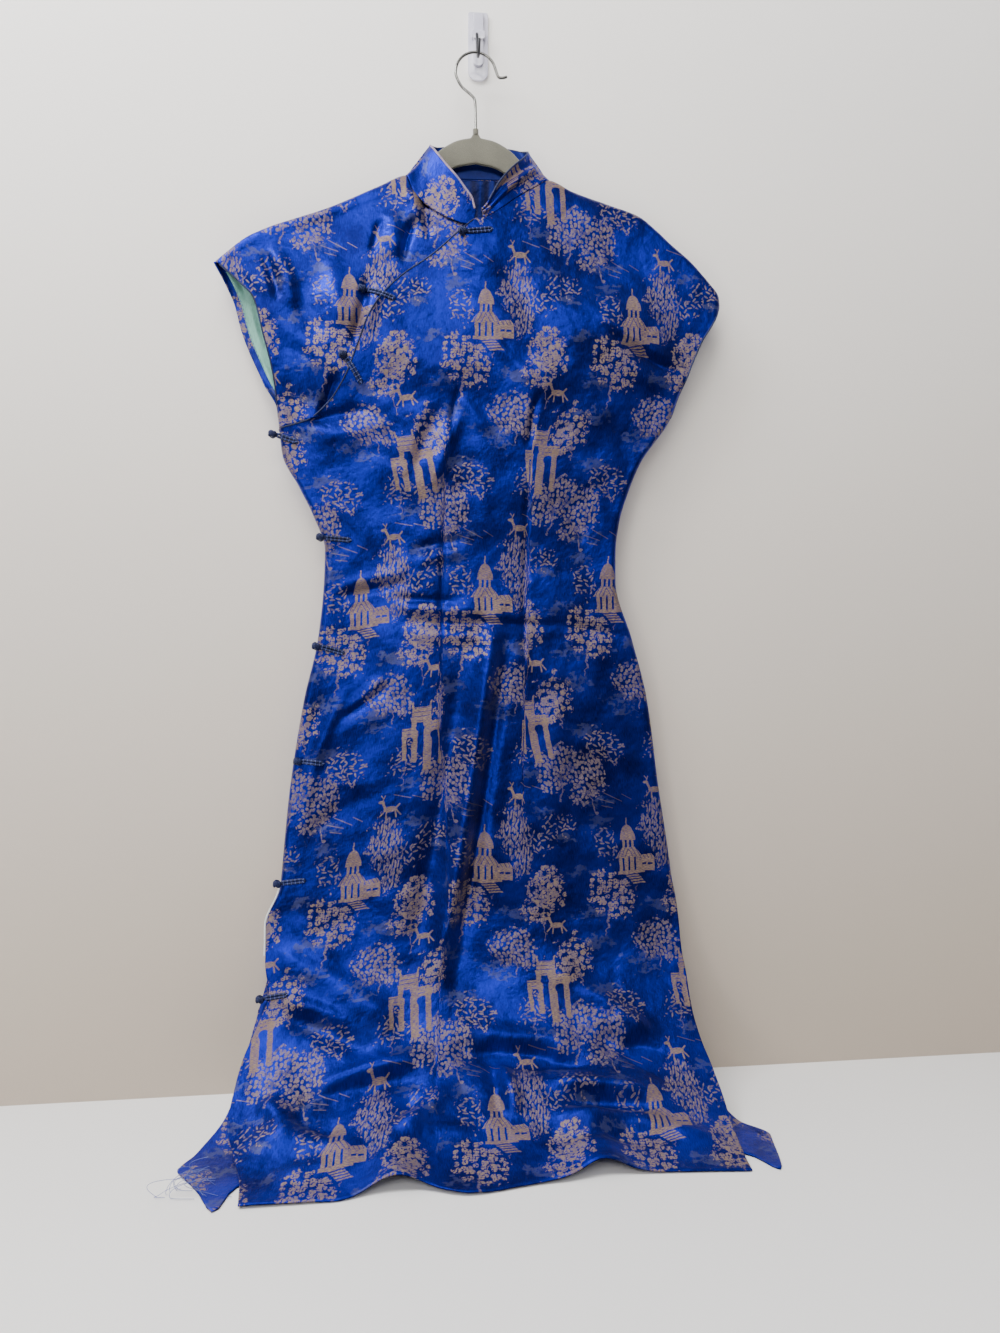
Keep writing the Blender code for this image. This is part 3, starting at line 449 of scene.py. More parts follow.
def landscape(ink, u, v):
    """Masks of the built figures, the leaves with their tone, and the clouds."""
    half_across, half_down = REPEAT_ACROSS / 2, REPEAT_DOWN / 2
    near_tower = ink.join(u.wrap(-half_across, half_across), v.wrap(-half_down, half_down))
    near_gate = ink.join(u.wrap(0.0, REPEAT_ACROSS), v.wrap(-REPEAT_DOWN, 0.0))
    wobble = ink.noise(near_tower, 0.10, 3.0, "Color", 0.65)
    wobble = ink.vector("MULTIPLY", ink.vector("SUBTRACT", wobble, (0.5, 0.5, 0.5)), (44.0, 44.0, 0.0))
    soft_tower = ink.vector("ADD", near_tower, wobble)
    soft_gate = ink.vector("ADD", near_gate, wobble)
    shiver = ink.vector("MULTIPLY", wobble, (0.07, 0.07, 0.0))
    firm_tower = ink.vector("ADD", near_tower, shiver)
    firm_gate = ink.vector("ADD", near_gate, shiver)
    bent_tower = ink.vector("ADD", near_tower, ink.vector("MULTIPLY", wobble, (0.35, 0.2, 0.0)))
    bent_gate = ink.vector("ADD", near_gate, ink.vector("MULTIPLY", wobble, (0.35, 0.2, 0.0)))

    built = least(tower(firm_tower), gate(moved(firm_gate, (66, -139))),
                  deer(near_tower, (37, -69)), deer(near_gate, (78, -213)))
    twigs = least(twig(bent_tower, (-22, 56), (-29, 92), 0.7), twig(bent_tower, (-23, 62), (-10, 44), 0.5),
                  twig(bent_tower, (-39, -80), (-33, -44), 0.7),
                  twig(bent_tower, (-38, -66), (-50, -80), 0.5),
                  twig(bent_gate, (62, -240), (66, -196), 0.7), twig(bent_gate, (64, -222), (52, -236), 0.5),
                  twig(bent_gate, (98, -104), (90, -62), 0.8), twig(bent_gate, (96, -88), (110, -98), 0.5),
                  twig(bent_gate, (98, -176), (104, -142), 0.6), twig(bent_gate, (28, -192), (34, -160), 0.6),
                  twig(bent_tower, (-14, -116), (-4, -98), 0.5), twig(bent_gate, (50, -114), (46, -92), 0.5))

    blossom_crown = least(blob(soft_tower, (-20, 46), (23, 17)), blob(soft_gate, (97, -176), (17, 23)),
                          blob(soft_tower, (-32, 32), (13, 15)), blob(soft_gate, (66, -252), (18, 24)),
                          blob(soft_gate, (54, -232), (13, 13)), blob(soft_tower, (-10, 62), (12, 9)),
                          blob(soft_gate, (90, -158), (12, 10)))
    flowers, flower_tone = leaf_spots(ink, near_tower, 6.6, None, 0.47, 0.80)
    petals, petal_tone = leaf_spots(ink, near_tower, 2.5, None, 0.50, 0.7)
    blossom = most(flowers, petals * 1.3 - 0.04, blossom_crown - 1.12)
    heads = [disc(firm_gate, at, size) for at, size in
             (((86, -171), 4.2), ((94, -178), 3.6), ((88, -161), 3.4), ((97, -168), 3.8), ((90, -151), 3.0),
              ((80, -180), 3.0), ((104, -174), 2.8), ((66, -242), 3.2), ((73, -249), 3.6))]
    heads = most(least(*heads), 0.75 - petals * 1.5 - 1.0)

    dot_crown = least(blob(soft_tower, (-37, -92), (16, 22)), blob(soft_gate, (29, -192), (22, 18)),
                      blob(soft_gate, (97, -104), (26, 16)), blob(soft_gate, (82, -90), (14, 15)),
                      blob(soft_tower, (-49, -72), (11, 13)), blob(soft_tower, (66, 36), (13, 15)),
                      blob(soft_gate, (44, -176), (12, 9)))
    dots, dot_tone = leaf_spots(ink, near_tower, 4.1, 2.2, 0.53, 0.85, 1.4)
    dots = most(dots, dot_crown - 1.14)
    sprig_crown = least(blob(soft_tower, (-15, -120), (20, 17)), blob(soft_gate, (50, -118), (15, 15)),
                        blob(soft_tower, (-26, -12), (10, 19)), blob(soft_tower, (60, -20), (9, 12)),
                        blob(soft_gate, (84, -34), (17, 12)))
    sprigs, sprig_tone = leaf_spots(ink, near_tower, 5.2, 5.2, 0.56, 0.9, 3.1)
    sprigs = most(sprigs, sprig_crown - 1.12)
    across, down, _ = near_tower.parts()
    lean = ink.join(across + down * 0.12, down * 0.62)
    willow_crown = least(blob(soft_tower, (34, -32), (15, 24)), blob(soft_tower, (41, -2), (9, 18)))
    willow, willow_tone = leaf_spots(ink, lean, 3.0, 1.5, 0.64, 0.85, 1.9)
    willow = most(willow, willow_crown - 1.2)
    leaves = least(dots, sprigs, willow).ease(-0.06, 0.07, 1.0, 0.0)
    lines = twigs.ease(-0.25, 0.35, 0.85, 0.0)
    leaves = most(leaves, lines)
    tone = (dot_tone + sprig_tone + willow_tone) * 0.333
    bright = most(blossom.ease(-0.05, 0.05, 1.0, 0.0), heads.ease(-0.3, 0.4, 0.9, 0.0))
    bright_tone = flower_tone * 0.6 + petal_tone * 0.4

    drift = ink.noise(ink.join(u * 0.045, (v * 0.30).math("FLOOR", v * 0.30)), 1.0, 2.0, "Fac", 0.6)
    cloud_at = least(blob(soft_tower, (-32, -37), (20, 8)), blob(soft_tower, (-32, -60), (24, 7)),
                     blob(soft_gate, (67, -52), (22, 7)), blob(soft_gate, (92, -22), (18, 8)),
                     blob(soft_tower, (-57, 17), (20, 8)), blob(soft_tower, (-42, 98), (30, 8)),
                     blob(soft_tower, (28, 60), (24, 8)), blob(soft_gate, (58, -92), (24, 6)),
                     blob(soft_gate, (18, -158), (22, 7)), blob(soft_gate, (128, -140), (26, 8)),
                     blob(soft_gate, (120, -225), (24, 8)), blob(soft_tower, (10, 120), (30, 7)))
    cloud = (cloud_at + (drift - 0.5) * 3.2).ease(0.30, 0.80, 1.0, 0.0)
    strokes = least(twig(near_tower, (-30, -62), (-12, -56), 0.3),
                    twig(near_tower, (-22, -68), (-3, -58), 0.3),
                    twig(near_tower, (-26, -54), (-14, -51), 0.3), twig(near_tower, (-2, -66), (8, -60), 0.3),
                    twig(near_gate, (40, -84), (58, -78), 0.3), twig(near_gate, (60, -80), (76, -74), 0.3))
    walls = built.ease(-0.3, 0.3, 1.0, 0.0)
    drawn = strokes.ease(-0.2, 0.4, 0.8, 0.0)
    return walls, bright, bright_tone, leaves, tone, cloud, drawn


def brocade(name, shift):
    """The jacquard satin: blue warp satin, with tan and mauve figures woven into it."""
    made, shader, ink = new_finish(name, GROUND_BLUE[:3])
    uv = ink.out(ink.node("ShaderNodeUVMap", {"uv_map": "cloth"}))
    x, s, _ = uv.parts()
    u = x * TO_MM + shift[0]
    v = s * TO_MM + shift[1]
    u.socket.node.name = "shift_across"
    v.socket.node.name = "shift_down"
    built, bright, bright_tone, leaves, tone, cloud, strokes = landscape(ink, u, v)
    place = ink.join(u, v)
    thread = ink.noise(ink.vector("MULTIPLY", place, (1.7, 0.16, 0.0)), 1.0, 2.0)
    weft = ink.noise(ink.vector("MULTIPLY", place, (0.30, 1.9, 0.0)), 1.0, 2.0)
    depth = ink.noise(place, 0.018, 3.0)
    colour = (thread * 0.4 + depth * 0.6).ease(0.34, 0.68).mix(DEEP_BLUE, GROUND_BLUE)
    colour = (cloud * (0.22 + weft * 0.60)).mix(colour, CLOUD)
    grain = weft.ease(0.30, 0.62, 0.45, 1.0)
    colour = (strokes * 0.9).mix(colour, LEAF)
    colour = (leaves * grain).mix(colour, tone.ease(0.18, 0.55).mix(DIM_LEAF, LEAF))
    colour = (bright * grain).mix(colour, bright_tone.ease(0.25, 0.75).mix(LEAF, LIGHT_TAN))
    colour = (built * grain).mix(colour, weft.ease(0.35, 0.7).mix(TAN, LIGHT_TAN))
    figure = most(built, bright, leaves * 0.85, cloud * 0.3)
    feed(shader, "Base Color", colour)
    shine = (1.0 - figure * 0.50) * SATIN_SHINE
    shine.socket.node.name = "shine"
    feed(shader, "Metallic", shine)
    feed(shader, "Roughness", SATIN_ROUGH + figure * FIGURE_ROUGHER + thread * 0.08)
    shader.inputs["Specular IOR Level"].default_value = 0.30
    shader.inputs["Sheen Weight"].default_value = 0.03
    shader.inputs["Sheen Roughness"].default_value = 0.45
    rumple = ink.noise(place, 0.055, 3.0)
    relief(shader, ink, rumple + thread * 0.045 + weft * 0.03, RUMPLE_DEPTH, 0.75)
    return made


def same_cloth(name, shift, shine=SATIN_SHINE):
    """The same brocade cut from another place on the cloth, or its duller wrong side."""
    made = satin.copy()
    made.name = name
    nodes = made.node_tree.nodes
    nodes["shift_across"].inputs[1].default_value = shift[0]
    nodes["shift_down"].inputs[1].default_value = shift[1]
    nodes["shine"].inputs[1].default_value = shine
    return made


satin = brocade("satin_brocade", (-3.0, -603.0))
satin_back = same_cloth("satin_brocade_back", (40.0, -603.0))
satin_lap = same_cloth("satin_brocade_underlap", (-22.0, -590.0))
satin_collar = same_cloth("satin_brocade_collar", (20.0, -455.0))
inside = same_cloth("satin_brocade_inside", (60.0, -560.0), INSIDE_SHINE)

# %% Paint shade on the inside of the neck: dark, with painted ripple shading
NECK_SHADE_S = 0.236, 0.240
NECK_SHADE_DARK, NECK_SHADE_RIPPLE = (0.001, 0.003, 0.040, 1.0), (0.002, 0.010, 0.140, 1.0)

reverse = Ink(inside.node_tree)
reverse_shader = inside.node_tree.nodes["Principled BSDF"]
drawn = Ink(reverse.tree, reverse_shader.inputs["Base Color"].links[0].from_socket)
cloth_place = reverse.out(reverse.node("ShaderNodeUVMap", {"uv_map": "cloth"}))
# Painted shade: near the neck the inside turns dark blue, in stripes that stand in for shaded ripples.
neck_shade = cloth_place.parts()[1].ease(*NECK_SHADE_S, 1.0, 0.0)
ripples = reverse.noise(reverse.vector("MULTIPLY", cloth_place, (160.0, 9.0, 0.0)), 1.0, 2.0)
painted_neck_shade = ripples.ease(0.35, 0.70).mix(NECK_SHADE_DARK, NECK_SHADE_RIPPLE)
feed(reverse_shader, "Base Color", neck_shade.mix(drawn, painted_neck_shade))
print("brocade nodes:", len(satin.node_tree.nodes))

# %% Plain finishes: facing, lining, cord, piping, flock and metal


def plain_cloth(name, colour, dark, metallic, rough, weave):
    """A plain woven cloth with soft colour changes and a fine weave, on the UV map."""
    made, shader, ink = new_finish(name, colour)
    uv = ink.out(ink.node("ShaderNodeUVMap", {"uv_map": "cloth"}))
    place = ink.vector("MULTIPLY", uv, (TO_MM, TO_MM, 0.0))
    along = ink.noise(ink.vector("MULTIPLY", place, (1.6, 0.2, 0.0)), weave, 2.0)
    over = ink.noise(ink.vector("MULTIPLY", place, (0.2, 1.6, 0.0)), weave, 2.0)
    tone = ink.noise(place, 0.03, 3.0)
    feed(shader, "Base Color", (tone * 0.6 + along * 0.4).ease(0.3, 0.7).mix((*dark, 1.0), (*colour, 1.0)))
    feed(shader, "Roughness", rough + over * 0.08)
    shader.inputs["Metallic"].default_value = metallic
    shader.inputs["Specular IOR Level"].default_value = 0.3
    relief(shader, ink, along * 0.5 + over * 0.5 + tone * 4.0, 0.0004, 0.6)
    return made


def object_finish(name, colour, dark, rough, metallic, scale, depth, coat=0.0):
    """A finish on Object coordinates: a base colour, its mottle and a fine grain."""
    made, shader, ink = new_finish(name, colour)
    place = ink.out(ink.node("ShaderNodeTexCoord"), "Object")
    tone = ink.noise(place, 45.0, 3.0)
    grain = ink.noise(place, scale, 3.0)
    feed(shader, "Base Color", (tone * 0.5 + grain * 0.5).ease(0.35, 0.65).mix((*dark, 1.0), (*colour, 1.0)))
    feed(shader, "Roughness", rough + (grain - 0.5) * 0.12)
    shader.inputs["Metallic"].default_value = metallic
    shader.inputs["Coat Weight"].default_value = coat
    relief(shader, ink, grain, depth, 0.6)
    return made


facing = plain_cloth("satin_facing", (0.003, 0.012, 0.150), (0.002, 0.005, 0.070),
                     metallic=0.45, rough=0.42, weave=1.0)
lining = plain_cloth("mint_lining", (0.230, 0.470, 0.400), (0.120, 0.290, 0.230),
                     metallic=0.15, rough=0.40, weave=0.9)
cord = object_finish("frog_cord", (0.016, 0.024, 0.095), (0.005, 0.008, 0.035),
                     rough=0.52, metallic=0.25, scale=900.0, depth=0.0006)
piping = object_finish("tan_piping", (0.300, 0.220, 0.235), (0.110, 0.100, 0.230),
                       rough=0.55, metallic=0.1, scale=700.0, depth=0.0004)
white_edge = object_finish("slit_edging", (0.620, 0.640, 0.640), (0.430, 0.450, 0.500),
                           rough=0.6, metallic=0.0, scale=800.0, depth=0.0002)
flock = object_finish("grey_flock", (0.140, 0.134, 0.102), (0.105, 0.101, 0.078),
                      rough=0.92, metallic=0.0, scale=1500.0, depth=0.0005)
steel = object_finish("hook_steel", (0.300, 0.295, 0.280), (0.200, 0.200, 0.195),
                      rough=0.24, metallic=1.0, scale=300.0, depth=0.00004)
dark_wire = object_finish("dark_wire", (0.060, 0.060, 0.068), (0.030, 0.030, 0.035),
                          rough=0.38, metallic=0.6, scale=300.0, depth=0.00005)
clear_skin = object_finish("clear_plastic", (0.600, 0.585, 0.670), (0.500, 0.490, 0.590),
                           rough=0.16, metallic=0.0, scale=60.0, depth=0.00005, coat=0.5)
thread = object_finish("sewing_thread", (0.120, 0.150, 0.420), (0.060, 0.080, 0.260),
                       rough=0.6, metallic=0.0, scale=900.0, depth=0.0001)
flock.node_tree.nodes["Principled BSDF"].inputs["Sheen Weight"].default_value = 0.5
print("plain finishes ready")

# %% [markdown]
# ## Where the cloth lies
# A place on the cloth is x, the distance across, and s, the distance down along it. The
# outlines, hems and depths are short tables, read with a smooth curve between rows. They
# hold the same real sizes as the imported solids, so the finished cloth lies where they do.

# %% Outline tables, in millimetres


class Table:
    """A short table with named columns, read smoothly between its rows."""

    def __init__(self, columns, *rows):
        self.names = columns.split()
        self.data = np.array(rows, dtype=float) * MM

    def read(self, name, at):
        """Monotone cubic reading of one column, at values of the first column."""
        xs = self.data[:, 0]
        ys = self.data[:, self.names.index(name)]
        at = np.clip(np.asarray(at, dtype=float), xs[0], xs[-1])
        run = np.diff(xs)
        rise = np.diff(ys) / run
        slope = np.zeros_like(ys)
        same_way = rise[:-1] * rise[1:] > 0
        total = np.where(same_way, rise[:-1] + rise[1:], 1.0)
        slope[1:-1] = np.where(same_way, 2 * rise[:-1] * rise[1:] / total, 0.0)
        slope[0], slope[-1] = rise[0], rise[-1]
        i = np.clip(np.searchsorted(xs, at) - 1, 0, len(run) - 1)
        t = (at - xs[i]) / run[i]
        start = (1 + 2 * t) * (1 - t) ** 2 * ys[i] + t * (1 - t) ** 2 * run[i] * slope[i]
        end = t * t * (3 - 2 * t) * ys[i + 1] + t * t * (t - 1) * run[i] * slope[i + 1]
        return start + end


TOP = Table("x s",
            (-280, 258), (-242, 228), (-160, 195.5), (-108, 171), (-80, 158.5), (-40, 156),
            (0, 155), (45, 154), (75, 155.5), (100, 166), (142, 178.5), (174, 188.5),
            (193, 202), (211, 217.5), (233, 235), (266, 270))
SIDES = Table("s front_left back_left front_right back_right",
              (258, -279, -281, 265, 265), (280, -254, -269, 266.5, 266.5),
              (297, -239, -262, 261, 261), (328, -231, -254, 243, 243),
              (380, -219, -232, 222, 222), (410, -216, -216, 211, 211),
              (458, -211, -211, 178, 178), (491, -194, -194, 164, 164),
              (524, -178, -178, 154, 154), (557, -167, -167, 150, 150),
              (589, -168, -168, 150, 150), (654, -175, -175, 169, 169),
              (719, -190, -190, 186, 186), (819, -206, -206, 200, 200),
              (919, -216, -216, 215, 215), (960, -231, -221, 221, 218),
              (1000, -231, -226, 223, 223), (1030, -227, -234, 226, 230),
              (1070, -239, -245, 227, 236), (1100, -250, -252, 231, 238),
              (1130, -255, -258, 236, 240), (1160, -258, -266, 238, 243),
              (1200, -247, -286, 237, 256), (1232, -238, -300, 236, 279),
              (1302, -233, -300, 235, 279))
FRONT_NECK = Table("x s", (-8, 208), (2, 206), (19, 196), (38, 181), (59, 167), (75, 155.5))
UNDERLAP_NECK = Table("x s",
                      (-80, 158.5), (-73, 178), (-55, 197), (-34, 209), (-18, 214), (-8, 212))
PLACKET = Table("x s",
                (-215, 431), (-186, 422), (-163, 403), (-145, 377), (-132, 345),
                (-119, 313), (-100, 284), (-82, 267), (-56, 249), (-29, 226), (-8, 208))
DEPTH = Table("s front back",
              (150, 7, 3), (250, 12, 7), (350, 15, 7), (450, 14, 7), (560, 11, 5),
              (750, 14, 7), (950, 12, 7), (1100, 5, 3), (1200, 0, 0), (1302, 0, 0))
FRONT_HEM = Table("x s",
                  (-260, 1262), (-233, 1262), (-155, 1262), (-107, 1252), (-80, 1252),
                  (-31, 1266), (35, 1256), (60, 1254), (97, 1248), (141, 1250), (240, 1258))
BACK_HEM = Table("x s",
                 (-300, 1232), (-276, 1268), (-255, 1304), (-243, 1268), (-225, 1258),
                 (0, 1254), (225, 1258), (246, 1270), (263, 1296), (279, 1232))
COLLAR = Table("along base_x top_x top_y top_s",
               (0, -9, -5, -46, 192), (70, -27, -14, -48, 183), (150, -46, -26, -47, 167),
               (240, -63, -40, -42, 149), (330, -76, -50, -34, 133), (400, -80, -54, -24, 124),
               (470, -66, -44, -11, 120), (560, -36, -26, -8.5, 117), (640, 0, 0, -8, 116),
               (720, 40, 27, -8.5, 116), (800, 64, 44, -11, 119), (860, 75, 52, -24, 125),
               (900, 68, 48, -34, 134), (940, 50, 33, -43, 150), (970, 28, 16, -47, 170),
               (1000, 1, -1, -47, 192))
print("outline rows:", len(TOP.data) + len(SIDES.data))

# %% [markdown]
# ## Folds and creases
# Satin shows every crease. The largest folds are in the solids too: the long ridge down
# the middle, the waist, the arches over the table. The finer ones here are the creases of
# a dress that was folded away: short diagonal lines at the bust and the waist, darts, and
# drag lines near the closing. Each is a soft ridge or trough along a bowed line.

# %% Fold tables and the crumple between them
FRONT_FOLDS = Table("x0 s0 x1 s1 bow width height",
                    (28, 590, -52, 1075, -8, 15, 8),
                    (-232, 985, -90, 1075, 6, 17, 9),
                    (-200, 1165, -60, 1125, 6, 14, -9),
                    (-240, 1180, -120, 1205, 0, 15, 7),
                    (70, 1010, 165, 1110, 0, 16, 8),
                    (-45, 1100, 75, 1112, -5, 13, -9),
                    (-30, 1155, 190, 1150, 8, 14, 7),
                    (110, 1090, 205, 1135, 0, 12, -7),
                    (-96, 1150, -98, 1320, 0, 25, 13),
                    (92, 1165, 98, 1320, 0, 25, 13),
                    (-25, 330, -70, 440, 0, 18, 3),
                    (60, 350, 45, 450, 0, 18, 3))
BACK_FOLDS = Table("x0 s0 x1 s1 bow width height",
                   (-60, 620, -95, 1040, 8, 18, 5),
                   (70, 640, 110, 1030, -6, 18, 5),
                   (0, 760, 10, 1060, 0, 20, -4))
FRONT_CREASES = Table("x0 s0 x1 s1 bow width height",
                      (12, 606, -56, 1052, 5, 8, 8),
                      (29, 612, -39, 1060, 5, 8, -9.5),
                      (-20, 640, -84, 1040, 5, 12, -6.5),
                      (-138, 698, -196, 880, -14, 7, 6),
                      (-160, 700, -212, 872, -12, 8, -5),
                      (-100, 608, -18, 612, -2, 4, -4.5),
                      (-102, 619, 12, 623, 0, 6, 4),
                      (-96, 636, 102, 638, 0, 5, -5.5),
                      (90, 637, 170, 652, 0, 6, -4),
                      (-90, 647, 22, 651, 0, 7, 3.5),
                      (-168, 612, -74, 592, 2, 4.5, -5.5),
                      (-160, 600, -78, 582, 2, 6, 3.5),
                      (-84, 562, -12, 546, 2, 6, -4.5),
                      (-80, 573, -12, 558, 2, 7, 3.5),
                      (-154, 743, -96, 699, 0, 3.5, -4.5),
                      (-150, 733, -98, 690, 0, 5, 3),
                      (-24, 404, -60, 505, 0, 9, 6),
                      (-46, 400, -76, 488, 0, 8, -5.5),
                      (-28, 390, 6, 438, 0, 7, 4),
                      (4, 440, -2, 560, 0, 12, 2.5),
                      (62, 385, 50, 450, -2, 3.4, -4.0),
                      (50, 450, 44, 700, 0, 3.0, -1.8),
                      (-25, 385, -36, 440, 0, 3.4, -4.0),
                      (-38, 440, -46, 700, 0, 3.0, -1.8),
                      (117, 305, 230, 365, -5, 4.5, -6.5),
                      (110, 297, 224, 352, -5, 7, 4.0),
                      (130, 330, 214, 384, -5, 9, 2.5),
                      (-5, 330, 62, 391, 4, 6, 3.0),
                      (-112, 268, -128, 338, 3, 8, 4.5),
                      (-198, 429, -108, 408, 3, 6, -5.5),
                      (-190, 447, -88, 424, 3, 9, 4.5),
                      (-150, 452, -70, 470, 3, 9, -3.0),
                      (24, 660, 96, 700, -4, 9, 3.0),
                      (40, 740, 24, 900, -6, 14, -4.0),
                      (80, 700, 70, 900, 5, 14, 3.5),
                      (80, 760, 186, 800, 6, 12, 3.2),
                      (60, 850, 180, 880, 6, 13, -3.4),
                      (120, 900, 190, 980, 6, 13, 3.5),
                      (-190, 780, -80, 720, 5, 11, 2.8),
                      (-196, 868, -100, 815, 5, 11, -3.4),
                      (-150, 900, -60, 985, 6, 12, 3.2),
                      (-216, 940, -150, 1010, 0, 10, 3.5),
                      (-215, 1053, -108, 1101, 0, 12, -8.5),
                      (-232, 1034, -140, 1070, 4, 8, 6),
                      (-190, 1138, -48, 1106, 6, 9, 8),
                      (-192, 1150, -150, 1188, 0, 8, -8),
                      (-232, 1136, -196, 1192, 6, 11, 7),
                      (-94, 1198, -40, 1136, 0, 8, 7),
                      (-94, 1192, -18, 1188, 2, 6, 4.5),
                      (-120, 1190, -70, 1150, 0, 9, -6.5),
                      (-20, 1100, 117, 1125, -3, 8, -10),
                      (-24, 1080, 100, 1098, -3, 11, 6.5),
                      (98, 1034, 184, 1104, 4, 10, 9),
                      (140, 1098, 208, 1142, 0, 10, -9),
                      (48, 1143, 174, 1161, 2, 6, 7),
                      (60, 1163, 180, 1176, 2, 7, -8.5),
                      (48, 1180, 176, 1189, 0, 9, 6.5),
                      (46, 1206, 190, 1208, 0, 9, -6.5),
                      (12, 1108, 23, 1184, 0, 7, 8),
                      (2, 1110, 6, 1180, 0, 8, -6.5),
                      (-200, 1152, 214, 1160, 0, 42, 6),
                      (130, 1186, 222, 1218, 0, 10, 5),
                      (-214, 1226, -120, 1214, 0, 11, 5),
                      (86, 215, 150, 250, 4, 8, 2.2),
                      (20, 250, 60, 330, 4, 11, -2.4),
                      (130, 400, 172, 500, 8, 9, -3.6),
                      (100, 440, 142, 540, 6, 9, 3.0),
                      (60, 470, 120, 560, 6, 10, -2.6),
                      (-120, 480, -60, 540, 6, 9, -2.6),
                      (-166, 505, -112, 560, 4, 8, 3.0))
BACK_CREASES = Table("x0 s0 x1 s1 bow width height",
                     (-150, 300, -60, 380, 6, 12, 2.6),
                     (60, 390, 150, 300, 6, 12, 2.6),
                     (-120, 585, 120, 590, 6, 7, -2.6),
                     (-110, 600, 130, 612, -6, 9, 2.6),
                     (-50, 330, -45, 700, 0, 3.4, -2.0),
                     (50, 330, 45, 700, 0, 3.4, -2.0),
                     (-170, 760, -60, 840, 6, 12, 2.4),
                     (40, 880, 170, 820, 6, 14, 2.6),
                     (-150, 1000, 20, 1050, 6, 14, 3.0),
                     (-60, 1100, 150, 1080, 6, 12, 2.8))
LAP_CREASES = Table("x0 s0 x1 s1 bow width height",
                    (-66, 178, -56, 232, 2, 4, -6.5),
                    (-69, 203, -84, 257, -3, 4.2, -7),
                    (-80, 174, -70, 216, 3, 6, 4.5),
                    (-96, 196, -92, 252, 0, 9, 5),
                    (-107, 206, -117, 248, 0, 4, -4.5),
                    (-120, 260, -139, 348, 3, 6, -7.5),
                    (-152, 368, -173, 424, 0, 5.5, -7),
                    (-233, 240, -214, 302, 3, 5, -5.5),
                    (-222, 238, -197, 312, 4, 8, 4.5),
                    (-198, 272, -170, 345, 0, 14, -5),
                    (-160, 246, -150, 332, 0, 12, 4.5),
                    (-212, 332, -160, 396, 5, 9, -4),
                    (-196, 350, -150, 410, 5, 9, 3))


def smooth(t):
    """Ease from 0 to 1."""
    t = np.clip(t, 0.0, 1.0)
    return t * t * (3 - 2 * t)


def bump(t):
    """0 at both ends of 0 to 1, and 1 over most of the way between."""
    return smooth(t * 4) * smooth((1 - t) * 4)


def folds(table, x, s, end_share=0.2):
    """The sum of a table's soft ridges and troughs at places of the cloth."""
    total = np.zeros_like(x)
    for x0, s0, x1, s1, bow, width, height in table.data:
        run_x, run_s = x1 - x0, s1 - s0
        length = math.hypot(run_x, run_s)
        t = ((x - x0) * run_x + (s - s0) * run_s) / length ** 2
        aside = ((x - x0) * run_s - (s - s0) * run_x) / length
        aside = aside - bow * 4 * t * (1 - t)
        ends = smooth(t / end_share) * smooth((1 - t) / end_share)
        total += height * ends * np.exp(-(aside / width) ** 2)
    return total


def lattice(x, s, size_x, size_s, seed):
    """Smooth noise from -1 to 1, from random values at the corners of a grid."""
    values = np.random.default_rng(seed).uniform(-1, 1, (64, 64))
    gx, gs = x / size_x + 17.3, s / size_s + 11.7
    ix, js = np.floor(gx).astype(int), np.floor(gs).astype(int)
    fx, fs = smooth(gx - ix), smooth(gs - js)
    low = values[js % 64, ix % 64] * (1 - fx) + values[js % 64, (ix + 1) % 64] * fx
    high = values[(js + 1) % 64, ix % 64] * (1 - fx) + values[(js + 1) % 64, (ix + 1) % 64] * fx
    return low * (1 - fs) + high * fs


def crumple(x, s, seed):
    """The soft unevenness of satin that was folded away: rounded, with sharper valleys."""
    turned = x * 0.8 + s * 0.6
    across = s * 0.8 - x * 0.6
    wide = lattice(turned, across, 0.075, 0.045, seed)
    middle = lattice(x, s, 0.034, 0.021, seed + 1)
    fine = lattice(across, turned, 0.014, 0.019, seed + 2)
    sharp = 1 - np.abs(lattice(turned + 0.3 * across, across, 0.110, 0.050, seed + 3)) ** 0.7
    return 0.0020 * wide + 0.0011 * middle + 0.0004 * fine + 0.0022 * sharp


print("creases on the front:", len(FRONT_CREASES.data))

# %% [markdown]
# ## From the flat cloth to the room
# The cloth hangs straight down, arcs forward where the table stops it, and runs on over
# the table. Its height off that path rises from rolled seams at the sides to a shallow
# crown in the middle, with the folds on top. Where the slits and the sleeves are open,
# the edge isn't rolled in.

# %% The height and the path of the cloth
MID_Y = -0.0240
WALL = 0.0013
SEAM_GAP = 0.0003
ROLL = 0.0060
FRONT_BEND_S, FRONT_BEND_RADIUS = 0.930, 0.2230
BACK_BEND_S = 1.020
BACK_BEND_RADIUS = -TABLE_Z - WALL / 2 - BACK_BEND_S
NECK_LEFT_X, NECK_RIGHT_X = -0.080, 0.075
ARMPIT_S = 0.436
FRONT_SEED, LAP_SEED, BACK_SEED = 11, 23, 37
SLIT_TOP_S, SLIT_EASE = 0.905, 0.05
LEFT_SLEEVE_S, LEFT_SLEEVE_OPENING = 0.262, 0.146
RIGHT_SLEEVE_S, RIGHT_SLEEVE_OPENING = 0.272, 0.120
NECK_EASE, CROWN_REACH = 0.014, 0.17
SEAM_RISE, OPEN_RISE = 0.0068, 0.002
CHEST_X, CHEST_S, CHEST_REACH, CHEST_RISE = -0.003, 0.200, 0.045, 0.011


def rolled(distance):
    """The quarter-round profile of a folded or seamed edge."""
    q = np.clip(distance / ROLL, 0.0, 1.0)
    return np.sqrt(q * (2 - q))


